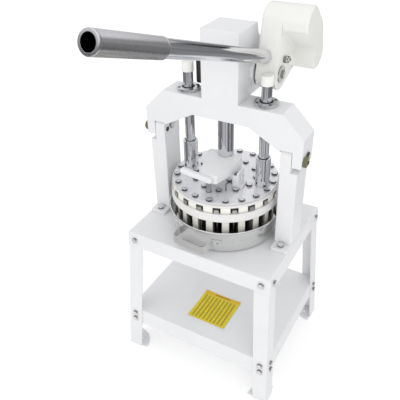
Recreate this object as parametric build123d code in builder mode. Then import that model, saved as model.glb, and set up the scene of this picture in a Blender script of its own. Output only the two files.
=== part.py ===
from build123d import *
import math
import os

# Manual dough divider on a splayed stand. Millimetres, X to the right, Y to the rear, Z up.
# The origin lies on the floor, midway between the four anchor holes of the feet.

# Stand
table_width = 500.0
table_depth = 415.0
table_height = 516.0
sheet = 3.0
skirt_height = 52.0
sheet_bend = 4.0
leg_width = 50.0
leg_thick = 4.0
splay_x = 31.0
splay_y = 37.5
shelf_height = 181.5
shelf_flange = 63.0
shelf_bolt_pitch = 26.0
foot_plate_radius = 66.0
foot_plate_thick = 5.0
anchor_radius = 6.0
anchor_inset = 28.0
weld_gap = 0.05
card_width = 140.0
card_length = 138.0
card_thick = 0.8
card_x = 7.5
card_y = -96.0

# Fasteners: shank radius, width across flats and head height of each thread
m4_radius = 2.0
m4_head_radius = 4.0
m4_head = 2.0
m5_radius = 2.5
m5_head_radius = 4.5
m5_head = 4.5
m8_radius = 4.0
m8_socket_head_radius = 6.0
m8_socket_head = 4.0
m10_radius = 5.0
m10_flats = 17.0
m10_head = 6.4
m10_nut = 8.0
m12_radius = 6.0
m12_flats = 19.0
m12_head = 7.5
m12_nut = 10.0
hole_clearance = 0.5
thread_clearance = 0.05
thread_end = 2.0
crown_share = 0.95
crown_slope = 60.0

# Columns
column_inner = 191.5
column_width = 53.5
column_depth = 85.0
column_height = 264.0
pad_width = 55.0
pad_depth = 156.0
pad_thick = 10.0
pad_corner = 8.0
pad_round = 2.0
column_round = 3.0
pad_bolt_inset = 27.0
pad_bolt_y = 57.0
tongue_width = 33.0
tongue_rise = 44.0
pivot_bolt_radius = 7.0
pivot_flats = 24.0
pivot_head = 5.0
pivot_nut_flats = 21.0
pivot_nut = 5.0
lock_bolt_y = -26.0
lock_bolt_drop = 6.0
lock_head_flats = 14.0
lock_head = 2.0
lock_nut_flats = 27.0
lock_nut = 12.0

# Crosshead and gear housing
slot_side_clearance = 1.5
slot_roof_clearance = 5.0
leg_gap = 18.0
cast_round = 2.5
crosshead_half = 255.0
crosshead_shoulder = 66.0
arch_half = 90.0
arch_rise = 69.0
haunch_rise = 15.0
beam_height = 59.0
housing_wall = 9.5
housing_roof = 10.0
housing_floor = 10.0
housing_lean = 10.0
housing_lean_drop = 36.0
housing_lean_y = 18.0
pinion_rear_room = 3.0
cover_thick = 4.0
cover_bend_rise = 24.0
cover_screw_margin = 15.0
cover_screw_grip = 5.0
cover_thread_depth = 7.5

# Guides
running_fit = 0.05
rod_radius = 15.0
rod_foot_radius = 13.0
rod_step_room = 3.0
rod_x = 124.5
bearing_radius = 20.0
bearing_flange_radius = 34.0
bearing_flange_thick = 10.0
bearing_screw_circle = 27.0
bearing_screw_length = 15.0
bearing_thread_depth = 16.0
seal_depth = 3.0
seal_gap = 0.3
cap_radius = 17.25
cap_height = 29.0
cap_socket = 17.0
cap_stop_gap = 11.0
cap_round = 2.0
ram_radius = 24.0
bush_wall = 6.0
ram_room = 3.0

# Drive
ram_drop = 36.0
ram_lift = 55.0
module = 4.0
dedendum_factor = 1.25
pinion_teeth = 24
pressure_angle = math.radians(20.0)
backlash = 0.25
pinion_width = 40.0
pinion_side_room = 28.0
pinion_above_beam = 67.0
rack_pitch_y = 17.0
rack_mesh_length = 12.0
ram_top_margin = 9.0
shaft_radius = 17.5
shaft_left_end = -105.5
shaft_hole_clearance = 0.7
shaft_thread_depth = 24.0
bearing_block_thick = 52.0
bearing_block_height = 108.0
bearing_block_depth = 86.0
bearing_block_round = 8.0
bearing_edge_round = 1.5
flange_thick = 12.5
flange_radius = 40.0
flange_screw_circle = 30.0
key_width = 10.0
key_height = 8.0
key_in_shaft = 5.0

# Lever
lever_gap = 6.0
lever_width = 60.0
hub_cap_gap = 3.75
weight_waist = 61.0
weight_end = 46.0
weight_half = 57.0
weight_lean = 34.0
weight_y = 67.0
weight_z = 87.0
weight_length = 129.0
weight_round = 7.0
notch_from_shaft = 82.0
notch_height = 53.0
notch_slope = 37.0
notch_round = 25.0
notch_inner_round = 8.0
handle_inset = 24.0
handle_rise = 19.0
handle_offset = 40.0
handle_reach = 765.0
handle_tail = 45.0
tube_radius = 19.0
tube_bore = 15.5
socket_radius = 24.0
socket_length = 50.8
grip_radius = 21.5
grip_length = 203.0
cross_bolt_back = 6.0
cross_bolt_pitch = 23.0
cross_bolt_stub = 5.0
cross_bolt_stub_radius = 4.0
cross_bolt_blind = 8.0
shaft_washer_radius = 23.0
shaft_washer_thick = 3.0
shaft_bolt_length = 18.0

# Cutter and press head
blade_edge = 40.8
blade_height = 100.2
blade_thick = 2.0
outer_count = 20
middle_count = 12
inner_count = 4
large_ring_radius = 122.0
small_ring_radius = 61.0
cutter_ring_inner = 160.0
cutter_ring_outer = 172.0
cutter_ring_height = 28.0
cutter_ring_lip = 1.0
nylon_round = 1.0
clip_width = 14.0
clip_depth = 10.0
clip_height = 14.0
finger_above_edge = 1.2
finger_half_gap = 14.0
finger_outer_radius = 157.0
finger_inner_radius = 125.5
middle_finger_outer = 117.0
middle_finger_inner = 65.0
inner_finger_outer = 57.0
inner_finger_inner = 24.0
finger_head_outer = 168.0
finger_head_inner = 140.0
finger_head_height = 20.0
notch_half = 11.75
backing_radius = 168.0
backing_thick = 8.0
press_plate_radius = 165.0
press_plate_thick = 6.0
outer_bolt_circle = 152.5
middle_bolt_circle = 96.5
inner_bolt_circle = 40.0
press_bolt_length = 46.0
press_travel = 27.0
press_top_gap = 1.6
sleeve_radius = 22.5
sleeve_height = 94.0
sleeve_room = 2.0
sleeve_recess_radius = 18.0
sleeve_recess = 6.0
plate_hole_gap = 1.5

# Yoke, latch and catch
yoke_height = 40.0
yoke_rear = 8.0
yoke_wall = 8.0
yoke_front = -116.0
yoke_front_height = 28.0
yoke_half = 54.0
yoke_half_front = 28.0
yoke_shoulder_y = -10.0
yoke_round = 8.0
yoke_top_round = 3.0
post_radius = 7.0
front_post_y = -110.0
side_post_x = 36.0
latch_thick = 12.0
latch_round = 2.0
latch_height = 17.0
latch_tail = 12.0
latch_length = 94.0
latch_slope = 7.0
latch_pin_x = 6.0
latch_pin_rise = 13.0
latch_pin_radius = 6.0
latch_pin_length = 30.0
latch_gap = 0.5
catch_x = 66.0
catch_thick = 6.0
catch_round = 1.5
catch_front = -58.0
catch_length = 40.0
catch_height = 52.0
catch_foot = 16.0
catch_flange = 14.0
catch_flange_height = 40.0
catch_slot_length = 26.0
catch_slot_width = 6.0
catch_slot_angle = 60.0
wire_radius = 1.5
wire_bend = 5.0
wire_from_catch = 22.0
wire_ahead = 26.0
wire_rise = 24.0
wire_crest_x = 11.0
wire_crest_y = 9.0
wire_crest_z = 30.0
wire_tip_y = 16.0
wire_tip_z = 20.0

# Pan
pan_height = 80.0
pan_rim_radius = 180.0
pan_base_radius = 171.0
pan_wall = 1.5
pan_floor = 2.0
pan_corner = 8.0
rim_bead = 3.0
pan_handle_azimuth = 84.4
pan_handle_span = 29.0
pan_tab_span = 10.0
pan_handle_reach = 214.0
pan_handle_half = 56.0
pan_handle_low = 24.0
pan_handle_height = 27.0
pan_handle_thick = 2.5
pan_handle_bend = 12.0
pan_handle_lap = 1.0
rivet_head_radius = 4.5
rivet_from_end = 4.0
rivet_head = 2.0

# Heights and places worked out from the driving dimensions
table_z = table_height
shoulder_z = table_z + column_height
pivot_z = shoulder_z + tongue_rise
tongue_radius = column_depth / 2
arch_z = pivot_z + arch_rise
beam_top = arch_z + beam_height
pitch_radius = module * pinion_teeth / 2
tip_radius = pitch_radius + module
dedendum = dedendum_factor * module
root_radius = pitch_radius - dedendum
base_radius = pitch_radius * math.cos(pressure_angle)
tooth_pitch = math.pi * module
pinion_y = rack_pitch_y + pitch_radius
pinion_z = beam_top + pinion_above_beam
ram_top = pinion_z + ram_drop + rack_mesh_length + ram_top_margin
housing_half = pinion_width / 2 + pinion_side_room + housing_wall
housing_cavity_half = housing_half - housing_wall
housing_front = -column_depth / 2
cavity_front = -ram_radius - ram_room
housing_roof_under = ram_top + ram_lift + ram_top_margin
housing_top = housing_roof_under + housing_roof
housing_rear = pinion_y + tip_radius + pinion_rear_room
blade_top = table_z + blade_edge + blade_height
cutter_ring_top = blade_top + cutter_ring_lip
finger_low = table_z + blade_edge + finger_above_edge
backing_low = cutter_ring_top + finger_head_height
press_plate_low = backing_low + backing_thick
press_plate_top = press_plate_low + press_plate_thick
yoke_low = press_plate_top + m10_head + press_travel + press_top_gap
sleeve_highest = press_plate_top + sleeve_height + ram_lift + press_travel
cap_low = beam_top + bearing_flange_thick + ram_drop + cap_stop_gap
rod_top = cap_low + cap_socket
hub_radius = pinion_y - cap_radius - hub_cap_gap
lever_left = housing_half + flange_thick + lever_gap
lever_right = lever_left + lever_width
shaft_right_end = lever_right
stand_stack = sheet + leg_thick

os.makedirs("parts", exist_ok=True)


def save(builder, name):
    """Label a finished piece and write it under its name."""
    builder.part.label = name
    export_step(builder.part, f"parts/{name}.step")


def hexagons(planes, flats, height):
    """Hexagon heads or nuts on a set of planes, with their outer corners turned off."""
    with BuildPart() as heads:
        with BuildSketch(*planes):
            RegularPolygon(flats / 2, 6, major_radius=False)
        extrude(amount=height)
        with BuildSketch(*planes):
            Circle(crown_share * flats / 2 + height * math.tan(math.radians(crown_slope)))
        extrude(amount=height, taper=crown_slope, mode=Mode.INTERSECT)
    return heads.part


def half_width(z):
    """Half the width over the legs' outer faces at a height."""
    return table_width / 2 - sheet + splay_x * (1 - z / table_height)


def half_depth(z):
    """Half the depth over the legs' outer faces at a height."""
    return table_depth / 2 - sheet + splay_y * (1 - z / table_height)


def splayed_block(low, high, grow):
    """Block between two heights whose sides run along the legs, grown outwards."""
    with BuildPart() as block:
        for z in (low, high):
            with BuildSketch(Plane.XY.offset(z)):
                Rectangle(2 * (half_width(z) + grow), 2 * (half_depth(z) + grow))
        loft(ruled=True)
    return block.part


def stand_bolt_planes(side_x, side_y):
    """Planes under the bolt heads of one leg: one per face at the skirt, two at the shelf."""
    shelf_mid = shelf_height - shelf_flange / 2
    heights = [(table_z - skirt_height / 2, sheet)]
    heights.append((shelf_mid + shelf_bolt_pitch / 2, 0))
    heights.append((shelf_mid - shelf_bolt_pitch / 2, 0))
    planes = []
    for z, cover in heights:
        x_face = side_x * (half_width(z) + cover)
        y_face = side_y * (half_depth(z) + cover)
        x_mid = side_x * (half_width(z) - leg_width / 2)
        y_mid = side_y * (half_depth(z) - leg_width / 2)
        planes.append(Plane((x_face, y_mid, z), z_dir=(side_x, 0, splay_x / table_height)))
        planes.append(Plane((x_mid, y_face, z), z_dir=(0, side_y, splay_y / table_height)))
    return planes


corners = [(-1, -1), (1, -1), (-1, 1), (1, 1)]
quarters = [Vector(1, 0).rotate(Axis.Z, angle) for angle in (45, 135, 225, 315)]
column_bolt_x = column_inner + pad_bolt_inset
column_bolt_places = [(side_x * column_bolt_x, side_y * pad_bolt_y) for side_x, side_y in corners]
rod_places = [Vector(-rod_x, 0), Vector(rod_x, 0)]
bearing_screw_places = [place + way * bearing_screw_circle for place in rod_places for way in quarters]
shaft_place = Vector(pinion_y, pinion_z)
shaft_screw_places = [shaft_place + way * flange_screw_circle for way in quarters]
all_stand_planes = [plane for corner in corners for plane in stand_bolt_planes(*corner)]

# Table top: sheet with a skirt that follows the legs' splay
with BuildPart() as table_top:
    add(splayed_block(table_z - skirt_height, table_z, sheet))
    fillet(table_top.edges().sort_by(Axis.Z)[4:], sheet_bend)
    add(splayed_block(table_z - skirt_height, table_z - sheet, 0), mode=Mode.SUBTRACT)
    with BuildSketch(*all_stand_planes):
        Circle(m10_radius + hole_clearance)
    extrude(amount=-stand_stack, mode=Mode.SUBTRACT)
    with BuildSketch(Plane.XY.offset(table_z)):
        with Locations(*column_bolt_places):
            Circle(m12_radius + hole_clearance)
    extrude(amount=-sheet, mode=Mode.SUBTRACT)
save(table_top, "table_top")


def leg(side_x, side_y):
    """Splayed leg of angle iron, seated in the skirt and standing on the floor."""
    with BuildPart() as angle:
        for z in (0, table_z - sheet):
            x = side_x * half_width(z)
            y = side_y * half_depth(z)
            with BuildSketch(Plane.XY.offset(z)):
                with BuildLine():
                    Polyline(
                        (x, y),
                        (x - side_x * leg_width, y),
                        (x - side_x * leg_width, y - side_y * leg_thick),
                        (x - side_x * leg_thick, y - side_y * leg_thick),
                        (x - side_x * leg_thick, y - side_y * leg_width),
                        (x, y - side_y * leg_width),
                        close=True,
                    )
                make_face()
        loft(ruled=True)
        with BuildSketch(*stand_bolt_planes(side_x, side_y)):
            Circle(m10_radius + hole_clearance)
        extrude(amount=-2 * stand_stack, mode=Mode.SUBTRACT)
    return angle


for side_x, side_y in corners:
    row = "front" if side_y < 0 else "rear"
    column_side = "left" if side_x < 0 else "right"
    save(leg(side_x, side_y), f"leg_{row}_{column_side}")

# Foot plates: quarter discs in the legs' angles, each with an anchor hole
foot_x = half_width(foot_plate_thick) - leg_thick - weld_gap
foot_y = half_depth(foot_plate_thick) - leg_thick - weld_gap
with BuildPart() as foot_plates:
    with BuildSketch(Plane.XY):
        with BuildLine():
            Line((foot_x, foot_y), (foot_x - foot_plate_radius, foot_y))
            CenterArc((foot_x, foot_y), foot_plate_radius, 180, 90)
            Line((foot_x, foot_y - foot_plate_radius), (foot_x, foot_y))
        make_face()
        with Locations((foot_x - anchor_inset, foot_y - anchor_inset)):
            Circle(anchor_radius, mode=Mode.SUBTRACT)
    extrude(amount=foot_plate_thick)
    mirror(about=Plane.YZ)
    mirror(about=Plane.XZ)
save(foot_plates, "foot_plates")

# Shelf: sheet with flanges turned down inside the legs
with BuildPart() as shelf:
    add(splayed_block(shelf_height - shelf_flange, shelf_height, -leg_thick))
    add(
        splayed_block(shelf_height - shelf_flange, shelf_height - sheet, -leg_thick - sheet),
        mode=Mode.SUBTRACT,
    )
    with BuildSketch(*all_stand_planes):
        Circle(m10_radius + hole_clearance)
    extrude(amount=-2 * stand_stack, mode=Mode.SUBTRACT)
save(shelf, "shelf")

with BuildPart() as stand_bolts:
    add(hexagons(all_stand_planes, m10_flats, m10_head))
    with BuildSketch(*all_stand_planes):
        Circle(m10_radius)
    extrude(amount=-(stand_stack + m10_nut + thread_end))
save(stand_bolts, "stand_bolts")

with BuildPart() as stand_nuts:
    with BuildSketch(*[plane.offset(-stand_stack) for plane in all_stand_planes]):
        RegularPolygon(m10_flats / 2, 6, major_radius=False)
        Circle(m10_radius + thread_clearance, mode=Mode.SUBTRACT)
    extrude(amount=-m10_nut)
save(stand_nuts, "stand_nuts")

with BuildPart() as shelf_card:
    with BuildSketch(Plane.XY.offset(shelf_height)):
        with Locations((card_x, card_y)):
            Rectangle(card_width, card_length)
    extrude(amount=card_thick)
save(shelf_card, "shelf_card")


def column(side):
    """Column with its foot pad and the rounded tongue that carries the crosshead."""
    tongue_left = column_inner if side > 0 else -column_inner - tongue_width
    with BuildPart() as post:
        with BuildSketch(Plane.XY.offset(table_z)):
            with Locations((side * (column_inner + pad_width / 2), 0)):
                RectangleRounded(pad_width, pad_depth, pad_corner)
        extrude(amount=pad_thick)
        fillet(post.faces().sort_by(Axis.Z)[-1].edges(), pad_round)
        with BuildSketch(Plane.XY.offset(table_z)):
            with Locations((side * (column_inner + column_width / 2), 0)):
                RectangleRounded(column_width, column_depth, column_round)
        extrude(amount=column_height)
        with BuildSketch(Plane.YZ.offset(tongue_left)):
            with Locations((0, pivot_z)):
                Circle(tongue_radius)
            with Locations((0, shoulder_z)):
                Rectangle(2 * tongue_radius, tongue_rise, align=(Align.CENTER, Align.MIN))
            with Locations((0, pivot_z)):
                Circle(pivot_bolt_radius + hole_clearance, mode=Mode.SUBTRACT)
            with Locations((lock_bolt_y, pivot_z - lock_bolt_drop)):
                Circle(m12_radius + hole_clearance, mode=Mode.SUBTRACT)
        extrude(amount=tongue_width)
        with BuildSketch(Plane.XY.offset(table_z)):
            with Locations(*column_bolt_places):
                Circle(m12_radius + hole_clearance)
        extrude(amount=pad_thick, mode=Mode.SUBTRACT)
    return post


save(column(-1), "column_left")
save(column(1), "column_right")

with BuildPart() as column_bolts:
    add(hexagons([Plane((x, y, table_z + pad_thick)) for x, y in column_bolt_places], m12_flats, m12_head))
    with BuildSketch(Plane.XY.offset(table_z + pad_thick)):
        with Locations(*column_bolt_places):
            Circle(m12_radius)
    extrude(amount=-(pad_thick + sheet + m12_nut + thread_end))
save(column_bolts, "column_bolts")

with BuildPart() as column_nuts:
    with BuildSketch(Plane.XY.offset(table_z - sheet)):
        with Locations(*column_bolt_places):
            RegularPolygon(m12_flats / 2, 6, major_radius=False)
            Circle(m12_radius + thread_clearance, mode=Mode.SUBTRACT)
    extrude(amount=-m12_nut)
save(column_nuts, "column_nuts")

# Crosshead: arch that straddles the columns' tongues, with the gear housing in the same casting
slot_inner = column_inner - slot_side_clearance
slot_width = tongue_width + 2 * slot_side_clearance
lean_end = (pinion_y + housing_lean_y, housing_top - housing_lean_drop)
lean_start = (lean_end[0] - housing_lean, housing_top)
cover_bend = (housing_rear, pinion_z + cover_bend_rise)
cover_screw_x = housing_half - housing_wall / 2
cover_screw_heights = (beam_top + cover_screw_margin, cover_bend[1] - cover_screw_margin)
cover_screw_places = [(side * cover_screw_x, z) for side in (-1, 1) for z in cover_screw_heights]
with BuildPart() as housing:
    with BuildSketch(Plane.YZ):
        with BuildLine():
            Polyline(
                (housing_front, beam_top - cast_round),
                (housing_front, housing_top),
                lean_start,
                lean_end,
                cover_bend,
                (housing_rear, beam_top),
                (column_depth / 2, beam_top),
                (column_depth / 2, beam_top - cast_round),
                close=True,
            )
        make_face()
    extrude(amount=housing_half, both=True)
    front_edges = housing.edges().filter_by(Axis.Z).group_by(Axis.Y)[0]
    fillet(front_edges + housing.faces().sort_by(Axis.Z)[-1].edges(), cast_round)
with BuildPart() as crosshead:
    with BuildSketch(Plane.XZ):
        with BuildLine():
            Polyline(
                (0, arch_z),
                (arch_half, arch_z),
                (slot_inner, pivot_z + haunch_rise),
                (slot_inner, shoulder_z + leg_gap),
                (crosshead_half, shoulder_z + leg_gap),
                (crosshead_half, beam_top - crosshead_shoulder),
                (crosshead_half - crosshead_shoulder, beam_top),
                (0, beam_top),
            )
            mirror(about=Plane.YZ)
        make_face()
    extrude(amount=column_depth / 2, both=True)
    fillet(crosshead.edges().filter_by(Axis.Y, reverse=True), cast_round)
    add(housing.part)
    with BuildSketch(Plane.YZ):
        with BuildLine():
            Polyline(
                (cavity_front, beam_top + housing_floor),
                (cavity_front, housing_roof_under),
                (lean_start[0] - housing_wall, housing_roof_under),
                (lean_end[0] - housing_wall, lean_end[1]),
                (2 * housing_rear, lean_end[1]),
                (2 * housing_rear, beam_top + housing_floor),
                close=True,
            )
        make_face()
    extrude(amount=housing_cavity_half, both=True, mode=Mode.SUBTRACT)
    with BuildSketch(Plane.YZ.offset(slot_inner), Plane.YZ.offset(-slot_inner - slot_width)):
        with Locations((0, pivot_z)):
            Circle(tongue_radius + slot_roof_clearance)
            Rectangle(2 * column_depth, column_height, align=(Align.CENTER, Align.MAX))
    extrude(amount=slot_width, mode=Mode.SUBTRACT)
    with BuildSketch(Plane.XY.offset(arch_z)):
        Circle(ram_radius + bush_wall)
    extrude(amount=beam_height + housing_floor, mode=Mode.SUBTRACT)
    with BuildSketch(Plane.XY.offset(pivot_z)):
        with Locations(*rod_places):
            Circle(bearing_radius)
    extrude(amount=beam_top - pivot_z, mode=Mode.SUBTRACT)
    with BuildSketch(Plane.XY.offset(sleeve_highest + sleeve_room)):
        with Locations(*rod_places):
            Circle(sleeve_radius + sleeve_room)
    extrude(amount=-sleeve_height, mode=Mode.SUBTRACT)
    with BuildSketch(Plane.XY.offset(beam_top)):
        with Locations(*bearing_screw_places):
            Circle(m5_radius + thread_clearance)
    extrude(amount=-bearing_thread_depth, mode=Mode.SUBTRACT)
    with BuildSketch(Plane.YZ):
        with Locations(shaft_place):
            Circle(shaft_radius + shaft_hole_clearance)
        with Locations(*shaft_screw_places):
            Circle(m8_radius + thread_clearance)
    extrude(amount=housing_half, both=True, mode=Mode.SUBTRACT)
    with BuildSketch(Plane.YZ):
        with Locations((0, pivot_z)):
            Circle(pivot_bolt_radius + hole_clearance)
        with Locations((lock_bolt_y, pivot_z - lock_bolt_drop)):
            Circle(m12_radius + hole_clearance)
    extrude(amount=crosshead_half, both=True, mode=Mode.SUBTRACT)
    with BuildSketch(Plane.XZ.offset(-housing_rear)):
        with Locations(*cover_screw_places):
            Circle(m4_radius + thread_clearance)
    extrude(amount=cover_thread_depth, mode=Mode.SUBTRACT)
save(crosshead, "crosshead")

# Rear cover: bent sheet that closes the back of the gear housing
cover_run = math.dist(lean_end, cover_bend)
cover_normal = ((lean_end[1] - cover_bend[1]) / cover_run, (cover_bend[0] - lean_end[0]) / cover_run)
cover_top = (lean_end[0] + cover_thick * cover_normal[0], lean_end[1] + cover_thick * cover_normal[1])
cover_turn = cover_thick * (1 - cover_normal[0]) / cover_normal[1]
with BuildPart() as rear_cover:
    with BuildSketch(Plane.YZ):
        with BuildLine():
            Polyline(
                lean_end,
                cover_bend,
                (housing_rear, beam_top),
                (housing_rear + cover_thick, beam_top),
                (housing_rear + cover_thick, cover_bend[1] + cover_turn),
                cover_top,
                close=True,
            )
        make_face()
    extrude(amount=housing_half, both=True)
    with BuildSketch(Plane.XZ.offset(-housing_rear)):
        with Locations(*cover_screw_places):
            Circle(m4_radius + hole_clearance)
    extrude(amount=-cover_thick, mode=Mode.SUBTRACT)
save(rear_cover, "rear_cover")

with BuildPart() as cover_screws:
    with BuildSketch(Plane.XZ.offset(-housing_rear - cover_thick)):
        with Locations(*cover_screw_places):
            Circle(m4_head_radius)
    extrude(amount=-m4_head)
    with BuildSketch(Plane.XZ.offset(-housing_rear - cover_thick)):
        with Locations(*cover_screw_places):
            Circle(m4_radius)
    extrude(amount=cover_thick + cover_screw_grip)
save(cover_screws, "cover_screws")


def joint_bolts(y, z, radius, flats, head, nut):
    """Bolt of each side with its head inside the column and its thread through the crosshead."""
    with BuildPart() as bolts:
        for side in (-1, 1):
            face = Plane((side * column_inner, y, z), x_dir=(0, 1, 0), z_dir=(-side, 0, 0))
            add(hexagons([face], flats, head))
            with BuildSketch(face):
                Circle(radius)
            extrude(amount=-(crosshead_half - column_inner + nut + thread_end))
    return bolts


def joint_nuts(y, z, radius, flats, nut):
    """Nut of each side on the crosshead's outer face."""
    with BuildPart() as nuts:
        for side in (-1, 1):
            face = Plane((side * crosshead_half, y, z), x_dir=(0, 1, 0), z_dir=(side, 0, 0))
            add(hexagons([face], flats, nut))
            with BuildSketch(face):
                Circle(radius + thread_clearance)
            extrude(amount=nut, mode=Mode.SUBTRACT)
    return nuts


lock_z = pivot_z - lock_bolt_drop
save(joint_bolts(0, pivot_z, pivot_bolt_radius, pivot_flats, pivot_head, pivot_nut), "pivot_bolts")
save(joint_nuts(0, pivot_z, pivot_bolt_radius, pivot_nut_flats, pivot_nut), "pivot_nuts")
save(joint_bolts(lock_bolt_y, lock_z, m12_radius, lock_head_flats, lock_head, lock_nut), "lock_bolts")
save(joint_nuts(lock_bolt_y, lock_z, m12_radius, lock_nut_flats, lock_nut), "lock_nuts")

# Flanged linear bearings of the guide rods
with BuildPart() as linear_bearings:
    with BuildSketch(Plane.XY.offset(arch_z)):
        with Locations(*rod_places):
            Circle(bearing_radius - weld_gap)
    extrude(amount=beam_height)
    with BuildSketch(Plane.XY.offset(beam_top)):
        with Locations(*rod_places):
            Circle(bearing_flange_radius)
    extrude(amount=bearing_flange_thick)
    with BuildSketch(Plane.XY.offset(arch_z)):
        with Locations(*rod_places):
            Circle(rod_radius + running_fit)
    extrude(amount=beam_height + bearing_flange_thick, mode=Mode.SUBTRACT)
    with BuildSketch(Plane.XY.offset(beam_top + bearing_flange_thick)):
        with Locations(*rod_places):
            Circle(bearing_radius)
    extrude(amount=-seal_depth, mode=Mode.SUBTRACT)
    with BuildSketch(Plane.XY.offset(beam_top + bearing_flange_thick)):
        with Locations(*bearing_screw_places):
            Circle(m5_head_radius + hole_clearance)
    extrude(amount=-(m5_head + hole_clearance), mode=Mode.SUBTRACT)
    with BuildSketch(Plane.XY.offset(beam_top)):
        with Locations(*bearing_screw_places):
            Circle(m5_radius + hole_clearance)
    extrude(amount=bearing_flange_thick, mode=Mode.SUBTRACT)
save(linear_bearings, "linear_bearings")

bearing_screw_seat = Plane.XY.offset(beam_top + bearing_flange_thick - m5_head - hole_clearance)
with BuildPart() as bearing_screws:
    with BuildSketch(bearing_screw_seat):
        with Locations(*bearing_screw_places):
            Circle(m5_head_radius)
    extrude(amount=m5_head)
    with BuildSketch(bearing_screw_seat):
        with Locations(*bearing_screw_places):
            Circle(m5_radius)
    extrude(amount=-bearing_screw_length)
save(bearing_screws, "bearing_screws")

with BuildPart() as bearing_seals:
    with BuildSketch(Plane.XY.offset(beam_top + bearing_flange_thick - seal_depth)):
        with Locations(*rod_places):
            Circle(bearing_radius - weld_gap)
            Circle(rod_radius + seal_gap, mode=Mode.SUBTRACT)
    extrude(amount=seal_depth)
save(bearing_seals, "bearing_seals")

with BuildPart() as ram_bush:
    with BuildSketch(Plane.XY.offset(arch_z)):
        Circle(ram_radius + bush_wall - weld_gap)
        Circle(ram_radius + running_fit, mode=Mode.SUBTRACT)
    extrude(amount=beam_height + housing_floor)
save(ram_bush, "ram_bush")

# Bearings of the pinion shaft: a block left of the housing and a flange right of it
with BuildPart() as bearing_block:
    with BuildSketch(Plane.YZ.offset(-housing_half)):
        with Locations(shaft_place):
            RectangleRounded(bearing_block_depth, bearing_block_height, bearing_block_round)
            Circle(shaft_radius + running_fit, mode=Mode.SUBTRACT)
        with Locations(*shaft_screw_places):
            Circle(m8_radius + hole_clearance, mode=Mode.SUBTRACT)
    extrude(amount=-bearing_block_thick)
    fillet(bearing_block.faces().sort_by(Axis.X)[0].outer_wire().edges(), bearing_edge_round)
save(bearing_block, "bearing_block")

with BuildPart() as bearing_flange:
    with BuildSketch(Plane.YZ.offset(housing_half)):
        with Locations(shaft_place):
            Circle(flange_radius)
            Circle(shaft_radius + running_fit, mode=Mode.SUBTRACT)
        with Locations(*shaft_screw_places):
            Circle(m8_radius + hole_clearance, mode=Mode.SUBTRACT)
    extrude(amount=flange_thick)
    fillet(bearing_flange.faces().sort_by(Axis.X)[-1].outer_wire().edges(), bearing_edge_round)
save(bearing_flange, "bearing_flange")

with BuildPart() as shaft_bearing_screws:
    with BuildSketch(Plane.YZ.offset(housing_half + flange_thick)):
        with Locations(*shaft_screw_places):
            Circle(m8_socket_head_radius)
    extrude(amount=m8_socket_head)
    with BuildSketch(Plane.YZ.offset(housing_half + flange_thick)):
        with Locations(*shaft_screw_places):
            Circle(m8_radius)
    extrude(amount=-(flange_thick + housing_wall))
    with BuildSketch(Plane.YZ.offset(-housing_half - bearing_block_thick)):
        with Locations(*shaft_screw_places):
            Circle(m8_socket_head_radius)
    extrude(amount=-m8_socket_head)
    with BuildSketch(Plane.YZ.offset(-housing_half - bearing_block_thick)):
        with Locations(*shaft_screw_places):
            Circle(m8_radius)
    extrude(amount=bearing_block_thick + housing_wall)
save(shaft_bearing_screws, "shaft_bearing_screws")

# Pinion shaft with its keyways
hub_key_x = lever_left + lever_width / 2
key_z = pinion_z + shaft_radius - key_in_shaft
with BuildPart() as pinion_shaft:
    with BuildSketch(Plane.YZ.offset(shaft_left_end)):
        with Locations(shaft_place):
            Circle(shaft_radius)
    extrude(amount=shaft_right_end - shaft_left_end)
    with BuildSketch(Plane.XY.offset(key_z)):
        with Locations((0, pinion_y), (hub_key_x, pinion_y)):
            Rectangle(pinion_width, key_width)
    extrude(amount=key_height, mode=Mode.SUBTRACT)
    with BuildSketch(Plane.YZ.offset(shaft_right_end)):
        with Locations(shaft_place):
            Circle(m12_radius + thread_clearance)
    extrude(amount=-shaft_thread_depth, mode=Mode.SUBTRACT)
save(pinion_shaft, "pinion_shaft")

with BuildPart() as shaft_keys:
    with BuildSketch(Plane.XY.offset(key_z)):
        with Locations((0, pinion_y), (hub_key_x, pinion_y)):
            Rectangle(pinion_width - 2 * weld_gap, key_width - 2 * weld_gap)
    extrude(amount=key_height)
save(shaft_keys, "shaft_keys")


def flank_half_angle(radius):
    """Half the angle that an involute tooth fills at a radius."""
    turn = math.acos(min(1.0, base_radius / radius))
    half_at_pitch = (tooth_pitch / 2 - backlash) / (2 * pitch_radius)
    return half_at_pitch + math.tan(pressure_angle) - pressure_angle - math.tan(turn) + turn


# Pinion: involute spur gear
flank_steps = 4
flank_radii = [base_radius + (tip_radius - base_radius) * i / flank_steps for i in range(flank_steps + 1)]
upper_flank = [Vector(r, 0).rotate(Axis.Z, math.degrees(flank_half_angle(r))) for r in flank_radii]
lower_flank = [Vector(p.X, -p.Y) for p in upper_flank]
tooth_foot = Vector(root_radius - module, 0).rotate(Axis.Z, math.degrees(flank_half_angle(base_radius)))
with BuildPart() as pinion:
    with BuildSketch(Plane.YZ.offset(-pinion_width / 2)):
        with Locations(shaft_place):
            Circle(root_radius)
            with BuildSketch(mode=Mode.PRIVATE) as tooth:
                with BuildLine():
                    Line(tooth_foot, upper_flank[0])
                    Spline(*upper_flank)
                    ThreePointArc(upper_flank[-1], (tip_radius, 0), lower_flank[-1])
                    Spline(*lower_flank)
                    Line(lower_flank[0], (tooth_foot.X, -tooth_foot.Y))
                    Line((tooth_foot.X, -tooth_foot.Y), tooth_foot)
                make_face()
            with PolarLocations(0, pinion_teeth):
                add(tooth.sketch)
            Circle(shaft_radius + weld_gap / 2, mode=Mode.SUBTRACT)
            with Locations((0, shaft_radius)):
                Rectangle(key_width, 2 * (key_height - key_in_shaft + weld_gap), mode=Mode.SUBTRACT)
    extrude(amount=pinion_width)
save(pinion, "pinion")

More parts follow.
